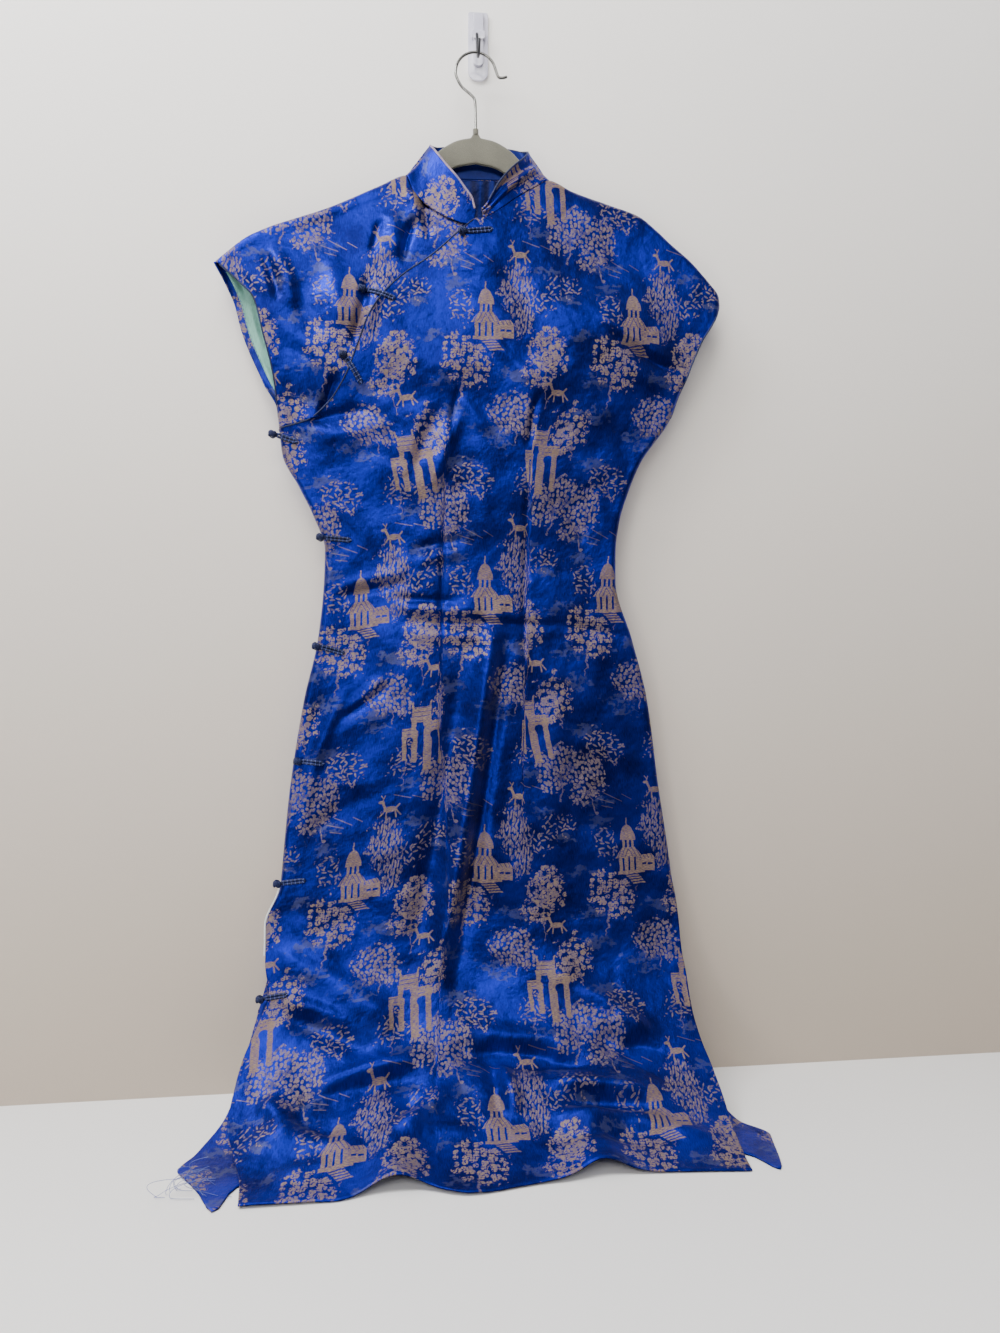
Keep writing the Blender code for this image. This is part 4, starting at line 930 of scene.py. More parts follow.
def height(x, s, side, seed):
    """How far the cloth stands off its path, for the front (side 1) or the back (-1)."""
    left = np.minimum(SIDES.read("front_left", s), SIDES.read("back_left", s))
    right = np.maximum(SIDES.read("front_right", s), SIDES.read("back_right", s))
    from_left = np.maximum(x - left, 0)
    from_right = np.maximum(right - x, 0)
    from_top = np.maximum(s - TOP.read("s", x), 0) * 0.9
    slit = smooth((s - SLIT_TOP_S) / SLIT_EASE)
    open_left = np.maximum(bump((s - LEFT_SLEEVE_S) / LEFT_SLEEVE_OPENING), slit)
    open_right = np.maximum(bump((s - RIGHT_SLEEVE_S) / RIGHT_SLEEVE_OPENING), slit)
    open_neck = smooth((x - NECK_LEFT_X) / NECK_EASE) * smooth((NECK_RIGHT_X - x) / NECK_EASE)
    rounding = open_neck + (1 - open_neck) * rolled(from_top)
    rounding = rounding * (open_left + (1 - open_left) * rolled(from_left))
    rounding = rounding * (open_right + (1 - open_right) * rolled(from_right))
    crown = smooth(from_left / CROWN_REACH) * smooth(from_right / CROWN_REACH)
    crown = crown * smooth(0.15 + from_top / 0.18)
    rise = SEAM_RISE + OPEN_RISE * (open_left + open_right) * (1 - slit)
    rise = rise * (1 - smooth((s - 0.95) / 0.22))
    total = rise + DEPTH.read("front" if side > 0 else "back", s) * crown
    if side > 0:
        from_chest = (x - CHEST_X) ** 2 + (s - CHEST_S) ** 2
        total = total + CHEST_RISE * np.exp(-from_chest / (2 * CHEST_REACH ** 2))
    inside = np.maximum(smooth(np.minimum(from_left, from_right) / 0.02), slit)
    table = FRONT_FOLDS if side > 0 else BACK_FOLDS
    within = smooth(np.minimum(from_left, from_right) / 0.045) * smooth((from_top + 0.004) / 0.03)
    within = np.maximum(within, 0.55 * slit)
    small = crumple(x, s, seed)
    if seed == FRONT_SEED:
        small = small + folds(FRONT_CREASES, x, s, 0.3)
    elif seed == LAP_SEED:
        small = small + folds(LAP_CREASES, x, s, 0.3)
    else:
        small = small + folds(BACK_CREASES, x, s, 0.3)
    return rounding * total + folds(table, x, s) * inside + small * within


def path(s, side):
    """The cloth's way down and forward: y, z and the turn from straight down."""
    if side > 0:
        bend, radius = FRONT_BEND_S, FRONT_BEND_RADIUS
        most_turn = math.asin((-TABLE_Z - WALL / 2 - bend) / radius)
    else:
        bend, radius = BACK_BEND_S, BACK_BEND_RADIUS
        most_turn = math.pi / 2
    turn = np.clip((s - bend) / radius, 0.0, most_turn)
    beyond = np.maximum(s - bend - radius * most_turn, 0.0)
    y = MID_Y - radius * (1 - np.cos(turn)) - beyond * math.sin(most_turn)
    z = -np.minimum(s, bend) - radius * np.sin(turn)
    return y, z, turn


def cloth(x, s, side, recess=0.0, seed=None):
    """Points of the cloth's middle surface. A recess lies back from it."""
    seed = seed or (FRONT_SEED if side > 0 else BACK_SEED)
    y, z, turn = path(s, side)
    lift = side * np.maximum(height(x, s, side, seed) - recess, 0) + side * SEAM_GAP / 2
    y = y - lift * np.cos(turn)
    z = np.maximum(z + lift * np.sin(turn), TABLE_Z + WALL / 2)
    return np.stack([x, y, z], axis=-1)


waist_y = cloth(np.array([0.0]), np.array([0.6]), 1)[0, 1]
print("cloth at the waist stands at y =", round(float(waist_y), 4))

# %% [markdown]
# ## From a grid to a piece of cloth
# Each panel is a grid of cloth places between its own cut edges. The grid's points get
# their normals from their neighbours, and a wall of even thickness goes round them: the
# brocade's face outside, its dull reverse inside, and the turned edge between. The UV map
# holds x and s in metres.

# %% Grid helpers


def along(points, share):
    """Places at shares of the way along a line of points."""
    points = np.array(points, dtype=float)
    steps = np.linalg.norm(np.diff(points, axis=0), axis=1)
    at = np.concatenate([[0], np.cumsum(steps)])
    where = np.asarray(share, dtype=float) * at[-1]
    return np.stack([np.interp(where, at, points[:, k]) for k in range(points.shape[1])], axis=-1)


def read_line(table, start, end, count=160):
    """Points along a table's x and s columns, between two places across."""
    xs = np.linspace(start, end, count)
    return np.stack([xs, table.read("s", xs)], axis=-1)


def side_line(name, start, end, count=160):
    """Points down one of the outlines."""
    ss = np.linspace(start, end, count)
    return np.stack([SIDES.read(name, ss), ss], axis=-1)


def patch(top, right, bottom, left, columns, rows):
    """Fill in the grid between four edges, at uneven steps across and down."""
    u, v = columns[None, :, None], rows[:, None, None]
    ruled = (1 - v) * top[None] + v * bottom[None] + (1 - u) * left[:, None] + u * right[:, None]
    level = (1 - u) * (1 - v) * top[0] + u * (1 - v) * top[-1]
    return ruled - level - (1 - u) * v * bottom[0] - u * v * bottom[-1]


def skirt_rows(top_row, names, hem, steps, corner_s):
    """Rows of places from a top row down to the hem, kept between two outlines."""
    share = (top_row[:, 0] - top_row[0, 0]) / (top_row[-1, 0] - top_row[0, 0])

    def across(s):
        return SIDES.read(names[0], s) * (1 - share) + SIDES.read(names[1], s) * share

    end = hem.read("s", across(np.full_like(share, corner_s)))
    rows = [top_row[:, 1] + v * (end - top_row[:, 1]) for v in steps]
    return np.array([np.stack([across(s), s], axis=-1) for s in rows])


def spaced(count, *corners, near=(0.0022, 0.0055, 0.0100, 0.0155, 0.0220)):
    """Even places from 0 to 1 through the corners given, with more just inside the ends."""
    even = np.linspace(0, 1, count + 1)
    for corner in corners:
        even[np.argmin(np.abs(even - corner))] = corner
    even = even[(even == 0) | (even == 1) | ((even > 0.0265) & (even < 0.9735))]
    return np.sort(np.concatenate([even, near, 1 - np.array(near)]))


def grid_normals(grid):
    """The unit normal at each point of a grid, from its neighbours."""
    across, down = np.gradient(grid, axis=1), np.gradient(grid, axis=0)
    normal = np.cross(across, down)
    return normal / np.maximum(np.linalg.norm(normal, axis=-1, keepdims=True), 1e-12)


def add_piece(name, points, faces, finishes, uv=None, face_finish=None, sharp=None):
    """Put a mesh in the scene with its finishes, its UV map and smooth shading."""
    mesh = bpy.data.meshes.new(name)
    mesh.from_pydata(np.asarray(points).tolist(), [], faces)
    mesh.shade_smooth()
    if sharp is not None:
        mesh.set_sharp_from_angle(angle=math.radians(sharp))
    for finish in finishes:
        mesh.materials.append(finish)
    if face_finish is not None:
        mesh.polygons.foreach_set("material_index", np.asarray(face_finish, dtype=np.int32))
    if uv is not None:
        corners = np.zeros(len(mesh.loops), dtype=np.int32)
        mesh.loops.foreach_get("vertex_index", corners)
        layer = mesh.uv_layers.new(name="cloth")
        layer.data.foreach_set("uv", np.asarray(uv)[corners].astype(np.float32).ravel())
    mesh.validate()
    made = bpy.data.objects.new(name, mesh)
    bpy.context.scene.collection.objects.link(made)
    return made


def cloth_wall(name, grid, normal, uv, finishes, thickness=WALL, keep=None):
    """A closed wall of cloth round a grid of middle points: outside, inside, edges."""
    rows, columns = grid.shape[:2]
    outer, inner = grid + normal * thickness / 2, grid - normal * thickness / 2
    if keep is not None:
        outer[..., 1], inner[..., 1] = keep(outer[..., 1]), keep(inner[..., 1])
    points = np.concatenate([outer.reshape(-1, 3), inner.reshape(-1, 3)])
    back = rows * columns
    r, c = np.meshgrid(np.arange(rows - 1), np.arange(columns - 1), indexing="ij")
    a = (r * columns + c).ravel()
    b = a + columns
    face = np.stack([a, b, b + 1, a + 1], axis=1)
    rear = np.stack([a, a + 1, b + 1, b], axis=1) + back
    top = np.arange(columns - 1)
    low = (rows - 1) * columns + top
    side = np.arange(rows - 1) * columns
    far = side + columns - 1
    rims = [np.stack([top, top + 1, back + top + 1, back + top], axis=1),
            np.stack([low + 1, low, back + low, back + low + 1], axis=1),
            np.stack([side + columns, side, back + side, back + side + columns], axis=1),
            np.stack([far, far + columns, back + far + columns, back + far], axis=1)]
    faces = np.concatenate([face, rear, *rims])
    kinds = np.zeros(len(faces), dtype=np.int32)
    kinds[len(face):len(face) + len(rear)] = 1
    made = add_piece(name, points, faces.tolist(), finishes, np.concatenate([uv.reshape(-1, 2)] * 2), kinds)
    if volume_of(made.data) < 0:
        made.data.flip_normals()
    return made


def volume_of(mesh):
    """The signed volume of a closed mesh: below zero where it is inside out."""
    shell = bmesh.new()
    shell.from_mesh(mesh)
    found = shell.calc_volume(signed=True)
    shell.free()
    return found


def seam_normals(grid, places, normal):
    """Turn the normals of seamed edge points outward in the garment's own plane."""
    x, s = places[..., 0], places[..., 1]
    flat = np.abs(grid[..., 1] - MID_Y) < SEAM_GAP
    top_edge = np.abs(s - TOP.read("s", x)) < 0.0008
    step = 0.004
    slope = (TOP.read("s", x + step) - TOP.read("s", x - step)) / (2 * step)
    up = np.stack([slope, np.zeros_like(x), np.ones_like(x)], axis=-1)
    sideways = np.stack([np.sign(x), np.zeros_like(x), np.zeros_like(x)], axis=-1)
    outward = np.where(top_edge[..., None], up, sideways)
    outward = outward / np.linalg.norm(outward, axis=-1, keepdims=True)
    turned = normal.copy()
    turned[flat] = outward[flat]
    return turned


def cloth_panel(name, places, side, finishes, recess=0.0, seed=None, uv=None):
    """One cloth panel from its grid of cloth places."""
    grid = cloth(places[..., 0], places[..., 1], side, recess, seed)
    normal = grid_normals(grid)
    outward = np.sign(np.mean(normal[:, :, 1])) * -side
    normal = seam_normals(grid, places, normal * outward)
    hanging = places[..., 1] < FRONT_BEND_S
    limit = MID_Y - side * SEAM_GAP / 2

    def keep(y):
        own_side = np.minimum(y, limit) if side > 0 else np.maximum(y, limit)
        return np.where(hanging, own_side, y)

    return cloth_wall(name, grid, normal, places if uv is None else uv, finishes, WALL, keep)


print("grid helpers ready")

# %% [markdown]
# ## The front
# The main front is one piece from the shoulder and the slanted closing down to the hem.
# Two darts from the bust to the hip take in cloth at the waist, so the figures are cut
# short there: the UV map jumps by the dart's depth at each dart line.

# %% Make the front
DARTS = Table("s right left right_x left_x",
              (380, 0, 0, 66, -24), (395, 0, 0, 66, -25), (460, 10, 18, 53, -40),
              (600, 26, 30, 50, -42), (742, 20, 30, 45, -46), (820, 8, 24, 44, -40),
              (904, 0, 20, 44, -38), (1092, 0, 12, 44, -52), (1240, 0, 4, 44, -60))


def pattern_places(places):
    """Where each point is on the woven figures: past each dart they are further out."""
    x, s = places[..., 0], places[..., 1]
    right, left = DARTS.read("right", s), DARTS.read("left", s)
    past_right = smooth((x - DARTS.read("right_x", s)) / 0.004 + 0.5)
    past_left = smooth((DARTS.read("left_x", s) - x) / 0.004 + 0.5)
    sag = 0.16 * np.maximum(-x - 0.03, 0) - 0.02 * np.maximum(x - 0.03, 0)
    return np.stack([x + right * past_right - left * past_left, s - sag], axis=-1)


corner = 0.32
columns = spaced(140, corner)
yoke_rows = spaced(68, near=(0.004, 0.010, 0.018))
neck_part = columns <= corner
neck = along(read_line(FRONT_NECK, -0.008, NECK_RIGHT_X), columns[neck_part] / corner)
shoulder = along(read_line(TOP, NECK_RIGHT_X, 0.266), (columns[~neck_part] - corner) / (1 - corner))
top = np.concatenate([neck, shoulder])
right = along(side_line("front_right", 0.270, ARMPIT_S), yoke_rows)
left = along(read_line(PLACKET, -0.008, -0.215), yoke_rows)
bottom = left[-1] + columns[:, None] * (right[-1] - left[-1])
yoke = patch(top, right, bottom, left, columns, yoke_rows)
steps = np.linspace(0, 1, 226)[1:]
skirt = skirt_rows(yoke[-1], ("front_left", "front_right"), FRONT_HEM, steps, 1.258)
front_places = np.concatenate([yoke, skirt])
front = cloth_panel("front_cloth", front_places, 1, [satin, inside], uv=pattern_places(front_places))
print("front:", len(front.data.polygons), "faces")

# %% [markdown]
# ## The back and the underlap
# The back is cut in one with its short sleeves and shows beside the front at the slits
# and the hem. The underlap is the small inner front behind the slanted closing.

# %% Make the back
first, second = 0.36, 0.64
columns = spaced(108, first, second)
yoke_rows = spaced(44, near=(0.005, 0.012, 0.020))
left_part, right_part = columns <= first, columns >= second
middle = ~left_part & ~right_part
top = np.concatenate([
    along(read_line(TOP, -0.281, NECK_LEFT_X), columns[left_part] / first),
    along(read_line(TOP, NECK_LEFT_X, NECK_RIGHT_X), (columns[middle] - first) / (second - first)),
    along(read_line(TOP, NECK_RIGHT_X, 0.266), (columns[right_part] - second) / (1 - second))])
left = along(side_line("back_left", 0.258, ARMPIT_S), yoke_rows)
right = along(side_line("back_right", 0.270, ARMPIT_S), yoke_rows)
top[0], top[-1] = left[0], right[0]
bottom = left[-1] + columns[:, None] * (right[-1] - left[-1])
yoke = patch(top, right, bottom, left, columns, yoke_rows)
skirt = skirt_rows(yoke[-1], ("back_left", "back_right"), BACK_HEM, np.linspace(0, 1, 191)[1:], 1.232)
back_places = np.concatenate([yoke, skirt])
back = cloth_panel("back_cloth", back_places, -1, [satin_back, inside])
print("back:", len(back.data.polygons), "faces")

# %% Make the underlap


def lap_recess(x, s):
    """The underlap lies behind the front's edge, and level with it at its own seams."""
    from_top = smooth((s - TOP.read("s", x)) / 0.02)
    from_side = smooth((x - SIDES.read("front_left", s)) / 0.02)
    return 0.0024 * from_top * from_side


corner = 0.42
columns = spaced(84, corner, near=(0.006, 0.015, 0.024))
rows = spaced(84, near=(0.008, 0.020))
neck_part = columns <= corner
neck = along(read_line(UNDERLAP_NECK, -0.008, NECK_LEFT_X), columns[neck_part] / corner)
seam = along(read_line(TOP, NECK_LEFT_X, -0.280), (columns[~neck_part] - corner) / (1 - corner))
top = np.concatenate([neck, seam])
sleeve = along(side_line("front_left", 0.258, ARMPIT_S - 0.0055), rows)
top[-1] = sleeve[0]
closing = read_line(PLACKET, -0.008, -0.215, 200)
step = np.gradient(closing, axis=0)
step = step / np.linalg.norm(step, axis=1, keepdims=True)
inward = np.stack([step[:, 1], -step[:, 0]], axis=-1)
tuck = smooth((closing[:, 0] + 0.190) / 0.03) * smooth((0.004 - closing[:, 0]) / 0.03)
closing = closing + inward * (0.010 * tuck - 0.001)[:, None]
closing[0], closing[-1] = top[0], sleeve[-1]
turn_share = 0.77
lap_right = along(closing, rows * turn_share)
lap_bottom = along(closing, turn_share + (1 - turn_share) * columns)
lap_places = patch(top, sleeve, lap_bottom, lap_right, columns, rows)
lap = cloth_panel("underlap_cloth", lap_places, 1, [satin_lap, inside],
                  lap_recess(lap_places[..., 0], lap_places[..., 1]), LAP_SEED)
print("underlap:", len(lap.data.polygons), "faces")

# %% [markdown]
# ## The stand collar
# One stiffened band runs round the neck and is open at the front. Its right half is
# folded over on itself, so a dark crease runs along it. The band's top edge has a narrow
# piping, made further below.

# %% Make the collar
LAP_END, FRONT_START = 0.40, 0.86
COLLAR_WALL = 0.0018
FOLDED_FROM, FOLD_DEPTH, FOLD_LIP = 0.885, 0.0042, 0.0018


def collar_grid(places, count):
    """The band's middle surface: from the neck seam up to its top edge."""
    base_x = COLLAR.read("base_x", places)
    on_lap = places <= LAP_END
    behind = (places > LAP_END) & (places < FRONT_START)
    base_s = np.where(on_lap, UNDERLAP_NECK.read("s", base_x), FRONT_NECK.read("s", base_x))
    base_s = np.where(behind, TOP.read("s", base_x), base_s)
    recess = np.where(on_lap, lap_recess(base_x, base_s), 0.0)
    base = np.where(behind[:, None], cloth(base_x, base_s, -1), cloth(base_x, base_s, 1, recess))
    top_z = -COLLAR.read("top_s", places)
    top = np.stack([COLLAR.read("top_x", places), COLLAR.read("top_y", places), top_z], axis=-1)
    upward = top - base
    upward = upward / np.linalg.norm(upward, axis=1, keepdims=True)
    base = base + upward * 0.0005
    rounding = 1 - 0.35 * (np.exp(-(places / 0.03) ** 2) + np.exp(-((1 - places) / 0.02) ** 2))
    v = np.linspace(0, 1, count)
    share = v[:, None, None] * rounding[None, :, None]
    swell = np.sin(np.pi * v)[:, None, None] * 0.002
    right_half = smooth((places - FOLDED_FROM) / 0.02)[None, :, None]
    crease = -FOLD_DEPTH * np.exp(-((v[:, None, None] - 0.52) / 0.09) ** 2) * right_half
    lip = FOLD_LIP * np.exp(-((v[:, None, None] - 0.80) / 0.14) ** 2) * right_half
    outward = np.cross(np.gradient(base, axis=0), upward)
    outward = outward / np.linalg.norm(outward, axis=1, keepdims=True)
    return base[None] * (1 - share) + top[None] * share + outward[None] * (swell + crease + lip)


collar_places = np.concatenate([np.linspace(0, LAP_END, 70), np.linspace(LAP_END + 0.003, FRONT_START, 70),
                                np.linspace(FRONT_START + 0.003, 1.0, 44)])
grid = collar_grid(collar_places, 26)
run = np.concatenate([[0], np.cumsum(np.linalg.norm(np.diff(grid[0], axis=0), axis=1))])
rise = np.concatenate([np.zeros((1, grid.shape[1])),
                       np.cumsum(np.linalg.norm(np.diff(grid, axis=0), axis=2), axis=0)])
collar_uv = np.stack([np.broadcast_to(run, rise.shape), 0.5 - rise], axis=-1)
collar = cloth_wall("collar_band", grid, -grid_normals(grid), collar_uv, [satin_collar, facing],
                    COLLAR_WALL)
print("collar:", round(float(run[-1]) * 1000), "mm round")

# %% [markdown]
# ## Inside the sleeve
# The left sleeve stands open and shows its facing: a narrow band of the blue satin's
# reverse, then a pale mint lining that ripples down the opening.

# %% Make the sleeve's facing and lining
LINING_WALL, LINING_STANDS_OFF = 0.0008, 0.0021
RIPPLE, FINE_RIPPLE, RIPPLE_SEED = 0.0010, 0.0008, 5

ss = np.linspace(0.266, 0.412, 90)
widths = np.linspace(0.0072, 0.052, 24)
x = SIDES.read("back_left", ss)[:, None] + widths[None, :]
s = np.repeat(ss[:, None], len(widths), axis=1)
grid = cloth(x, s, -1)
ripple = RIPPLE * np.sin(widths * 520)[None, :] * np.sin(ss * 60 + 1)[:, None]
ripple = ripple + FINE_RIPPLE * lattice(x, s, 0.010, 0.05, RIPPLE_SEED)
grid[..., 1] -= LINING_STANDS_OFF + ripple
sleeve_lining = cloth_wall("sleeve_lining_cloth", grid, grid_normals(grid), np.stack([x, s], axis=-1),
                           [lining, lining], LINING_WALL)
print("lining:", len(sleeve_lining.data.polygons), "faces")

# %% [markdown]
# ## Cords and stitches that follow a path
# Piping, knotted cords, wires and stitches all follow a line. Two small Geometry Nodes
# trees make them: one sweeps a round section along the line, the other sets a stitch at
# every step of it. The line comes in as a mesh of bare edges, and the result is baked to
# a plain mesh, because a part is exported without live nodes.

# %% Geometry Nodes trees for cords and stitches


def new_tree(name, inputs):
    """A Geometry Nodes tree with its named inputs, ready to be wired."""
    tree = bpy.data.node_groups.new(name, "GeometryNodeTree")
    tree.interface.new_socket("Line", in_out="INPUT", socket_type="NodeSocketGeometry")
    for label, kind, value in inputs:
        made = tree.interface.new_socket(label, in_out="INPUT", socket_type=kind)
        if value is not None:
            made.default_value = value
    tree.interface.new_socket("Made", in_out="OUTPUT", socket_type="NodeSocketGeometry")
    ink = Ink(tree)
    start = tree.nodes.new("NodeGroupInput")
    return tree, ink, start


def close_tree(ink, made, finish):
    """End a tree in Realize Instances and Set Material."""
    real = ink.node("GeometryNodeRealizeInstances", None, {0: made})
    painted = ink.node("GeometryNodeSetMaterial", None, {"Geometry": ink.out(real), "Material": finish})
    end = ink.tree.nodes.new("NodeGroupOutput")
    ink.tree.links.new(painted.outputs[0], end.inputs[0])


def cord_tree():
    """Sweeps a round section along each line."""
    tree, ink, start = new_tree("cord_sweep", [("Radius", "NodeSocketFloat", 0.001),
                                               ("Step", "NodeSocketFloat", 0.001),
                                               ("Sides", "NodeSocketInt", 10),
                                               ("Finish", "NodeSocketMaterial", None)])
    line = ink.out(ink.node("GeometryNodeMeshToCurve", None, {0: ink.out(start, "Line")}))
    even = ink.node("GeometryNodeResampleCurve", {"mode": "LENGTH"},
                    {"Curve": line, "Length": ink.out(start, "Step")})
    ring = ink.node("GeometryNodeCurvePrimitiveCircle", {"mode": "RADIUS"},
                    {"Resolution": ink.out(start, "Sides"), "Radius": ink.out(start, "Radius")})
    swept = ink.node("GeometryNodeCurveToMesh", None,
                     {"Curve": ink.out(even), "Profile Curve": ink.out(ring), "Fill Caps": True})
    close_tree(ink, ink.out(swept), ink.out(start, "Finish"))
    return tree


def stitch_tree():
    """Sets one small stitch at every step of each line, turned along it."""
    tree, ink, start = new_tree("stitch_run", [("Spacing", "NodeSocketFloat", 0.004),
                                               ("Length", "NodeSocketFloat", 0.0012),
                                               ("Width", "NodeSocketFloat", 0.0004),
                                               ("Finish", "NodeSocketMaterial", None)])
    line = ink.out(ink.node("GeometryNodeMeshToCurve", None, {0: ink.out(start, "Line")}))
    even = ink.node("GeometryNodeResampleCurve", {"mode": "LENGTH"},
                    {"Curve": line, "Length": ink.out(start, "Spacing")})
    tangent = ink.out(ink.node("GeometryNodeInputTangent"))
    turn = ink.node("FunctionNodeAlignRotationToVector", {"axis": "X"}, {"Vector": tangent})
    size = ink.join(ink.out(start, "Length"), ink.out(start, "Width"), ink.out(start, "Width"))
    bead = ink.node("GeometryNodeMeshUVSphere", None, {"Segments": 8, "Rings": 5, "Radius": 1.0})
    placed = ink.node("GeometryNodeInstanceOnPoints", None,
                      {"Points": ink.out(even), "Instance": ink.out(bead), "Rotation": ink.out(turn),
                       "Scale": size})
    close_tree(ink, ink.out(placed), ink.out(start, "Finish"))
    return tree


CORD_SWEEP = cord_tree()
STITCH_RUN = stitch_tree()


def run_tree(name, tree, lines, values):
    """Run a tree on lines of points, and keep the result as a plain mesh."""
    verts, edges = [], []
    for line in lines:
        base = len(verts)
        verts.extend(np.asarray(line, dtype=float).tolist())
        edges.extend((base + k, base + k + 1) for k in range(len(line) - 1))
    mesh = bpy.data.meshes.new(name + "_line")
    mesh.from_pydata(verts, edges, [])
    holder = bpy.data.objects.new(name + "_line", mesh)
    bpy.context.scene.collection.objects.link(holder)
    modifier = holder.modifiers.new("made", "NODES")
    modifier.node_group = tree
    sockets = {item.name: item.identifier for item in tree.interface.items_tree if item.in_out == "INPUT"}
    for label, value in values.items():
        modifier[sockets[label]] = value
    shown = holder.evaluated_get(bpy.context.evaluated_depsgraph_get())
    made_mesh = bpy.data.meshes.new_from_object(shown)
    bpy.data.objects.remove(holder, do_unlink=True)
    made_mesh.name = name
    made_mesh.shade_smooth()
    made = bpy.data.objects.new(name, made_mesh)
    bpy.context.scene.collection.objects.link(made)
    return made


def cord_along(name, lines, radius, finish, sides=10, step=0.0012):
    """A round cord along each line."""
    return run_tree(name, CORD_SWEEP, lines,
                    {"Radius": radius, "Step": step, "Sides": sides, "Finish": finish})


def stitches_along(name, lines, spacing, length, width, finish):
    """A row of small stitches along each line."""
    return run_tree(name, STITCH_RUN, lines,
                    {"Spacing": spacing, "Length": length, "Width": width, "Finish": finish})


def joined(name, pieces):
    """Join several pieces into one, keeping their finishes."""
    with bpy.context.temp_override(active_object=pieces[0], selected_editable_objects=pieces,
                                   selected_objects=pieces, object=pieces[0]):
        bpy.ops.object.join()
    pieces[0].name = name
    pieces[0].data.name = name
    return pieces[0]


print("trees:", CORD_SWEEP.name, STITCH_RUN.name)

# %% [markdown]
# ## Where a trim meets the cloth
# A knot or a seam has to lie on the cloth as it finally is, with its creases. A ray from
# the viewer's side finds the outermost surface at each place.

# %% Find the finished surface


def tree_of(thing):
    """A search tree of a piece's faces, for rays to hit."""
    mesh = thing.data
    return BVHTree.FromPolygons([v.co for v in mesh.vertices], [tuple(p.vertices) for p in mesh.polygons])


SURFACES = [tree_of(front), tree_of(lap)]


def surface_y(x, z, fallback):
    """The outermost y of the front or the underlap at a place."""
    hits = [tree.ray_cast(Vector((x, -0.4, z)), Vector((0, 1, 0)))[0] for tree in SURFACES]
    reached = [hit.y for hit in hits if hit is not None]
    return min(reached) if reached else fallback


# %% [markdown]
# ## Knotted cord buttons
# Each fastening is rolled satin cord: a tight ball knot, and two cords side by side that
# are sewn flat and turn back in a loop. The ball is one cord wound round a small core.

# %% Make the knotted buttons
FROGS = Table("knot_x knot_s end_x end_s",
              (-221, 437, -196, 445), (-172, 545, -140, 548), (-177, 660, -148, 668),
              (-197, 783, -170, 786), (-219, 914, -190, 911), (-235, 1036, -207, 1033),
              (-127, 282, -93, 296), (-147, 352, -128, 384), (-22, 224, 10, 219))
FROG_NODES = ("frog_side_1", "frog_side_2", "frog_side_3", "frog_side_4", "frog_side_5",
              "frog_side_6", "frog_slant_1", "frog_slant_2", "frog_collar")
BAR_RADIUS, KNOT_CORD_RADIUS, KNOT_CORE_RADIUS = 0.00135, 0.00105, 0.0034
BAR_SPREAD, KNOT_STANDS_OUT = 0.0016, 0.0036
KNOT_SIZE = (0.0039, 0.0034, 0.0039)


def make_frog(name, row):
    """A ball knot and its looped pair of cords, lying on the cloth."""
    knot_x, knot_s, end_x, end_s = row
    run = np.array([end_x - knot_x, end_s - knot_s])
    length = np.linalg.norm(run)
    run = run / length
    aside = np.array([-run[1], run[0]])
    share = np.linspace(0.10, 1.0, 30)
    gap = BAR_SPREAD * np.sqrt(np.clip(1 - ((share - 0.9) / 0.1).clip(0, 1) ** 2, 0, 1))
    gap = gap * smooth((share - 0.06) / 0.22)
    loop = []
    for sign, order in ((1, slice(None)), (-1, slice(None, None, -1))):
        for t, g in list(zip(share, gap))[order]:
            loop.append(np.array([knot_x, knot_s]) + run * t * length + aside * g * sign)
    loop = np.array(loop)
    edge = SIDES.read("front_left", loop[:, 1])
    inner = cloth(np.maximum(loop[:, 0], edge + 0.007), loop[:, 1], 1)
    ys = [surface_y(float(p[0]), float(p[2]), float(p[1])) for p in inner]
    spread_y = np.array(ys)
    spread_y = np.convolve(np.pad(spread_y, 3, mode="edge"), np.ones(7) / 7, mode="valid")
    line = np.stack([loop[:, 0], spread_y - 0.0013, inner[:, 2]], axis=-1)
    line[:, 1] -= 0.0012 * (1 - smooth(np.abs(np.concatenate([share, share[::-1]])) / 0.3))
    knot = np.array([knot_x, min(spread_y[:3]) - KNOT_STANDS_OUT, float(inner[0, 2])])
    t = np.linspace(0, 2 * math.pi, 170, endpoint=False)
    wound = np.stack([np.sin(3 * t), np.sin(4 * t + 0.6), np.cos(5 * t)], axis=-1)
    wound = wound / np.maximum(np.linalg.norm(wound, axis=1, keepdims=True), 0.35)
    wound = knot + wound * np.array(KNOT_SIZE)
    cords = cord_along(name + "_cords", [line], BAR_RADIUS, cord, sides=8, step=0.0011)
    closed = np.concatenate([wound, wound[:1]])
    ball = cord_along(name + "_ball", [closed], KNOT_CORD_RADIUS, cord, sides=7, step=0.0009)
    core = bmesh.new()
    bmesh.ops.create_icosphere(core, subdivisions=2, radius=KNOT_CORE_RADIUS)
    core_mesh = bpy.data.meshes.new(name + "_core")
    bmesh.ops.translate(core, verts=core.verts, vec=Vector(knot))
    core.to_mesh(core_mesh)
    core.free()
    core_mesh.materials.append(cord)
    heart = bpy.data.objects.new(name + "_core", core_mesh)
    bpy.context.scene.collection.objects.link(heart)
    seam = line[4:-4] + np.array([0, -0.0002, 0])
    sewn = stitches_along(name + "_sewn", [seam], spacing=0.0042, length=0.0004, width=0.0015,
                          finish=thread)
    return joined(name + "_knot", [cords, ball, heart, sewn])


frog_pieces = [make_frog(name, row) for name, row in zip(FROG_NODES, FROGS.data)]
print("knotted buttons:", len(frog_pieces))
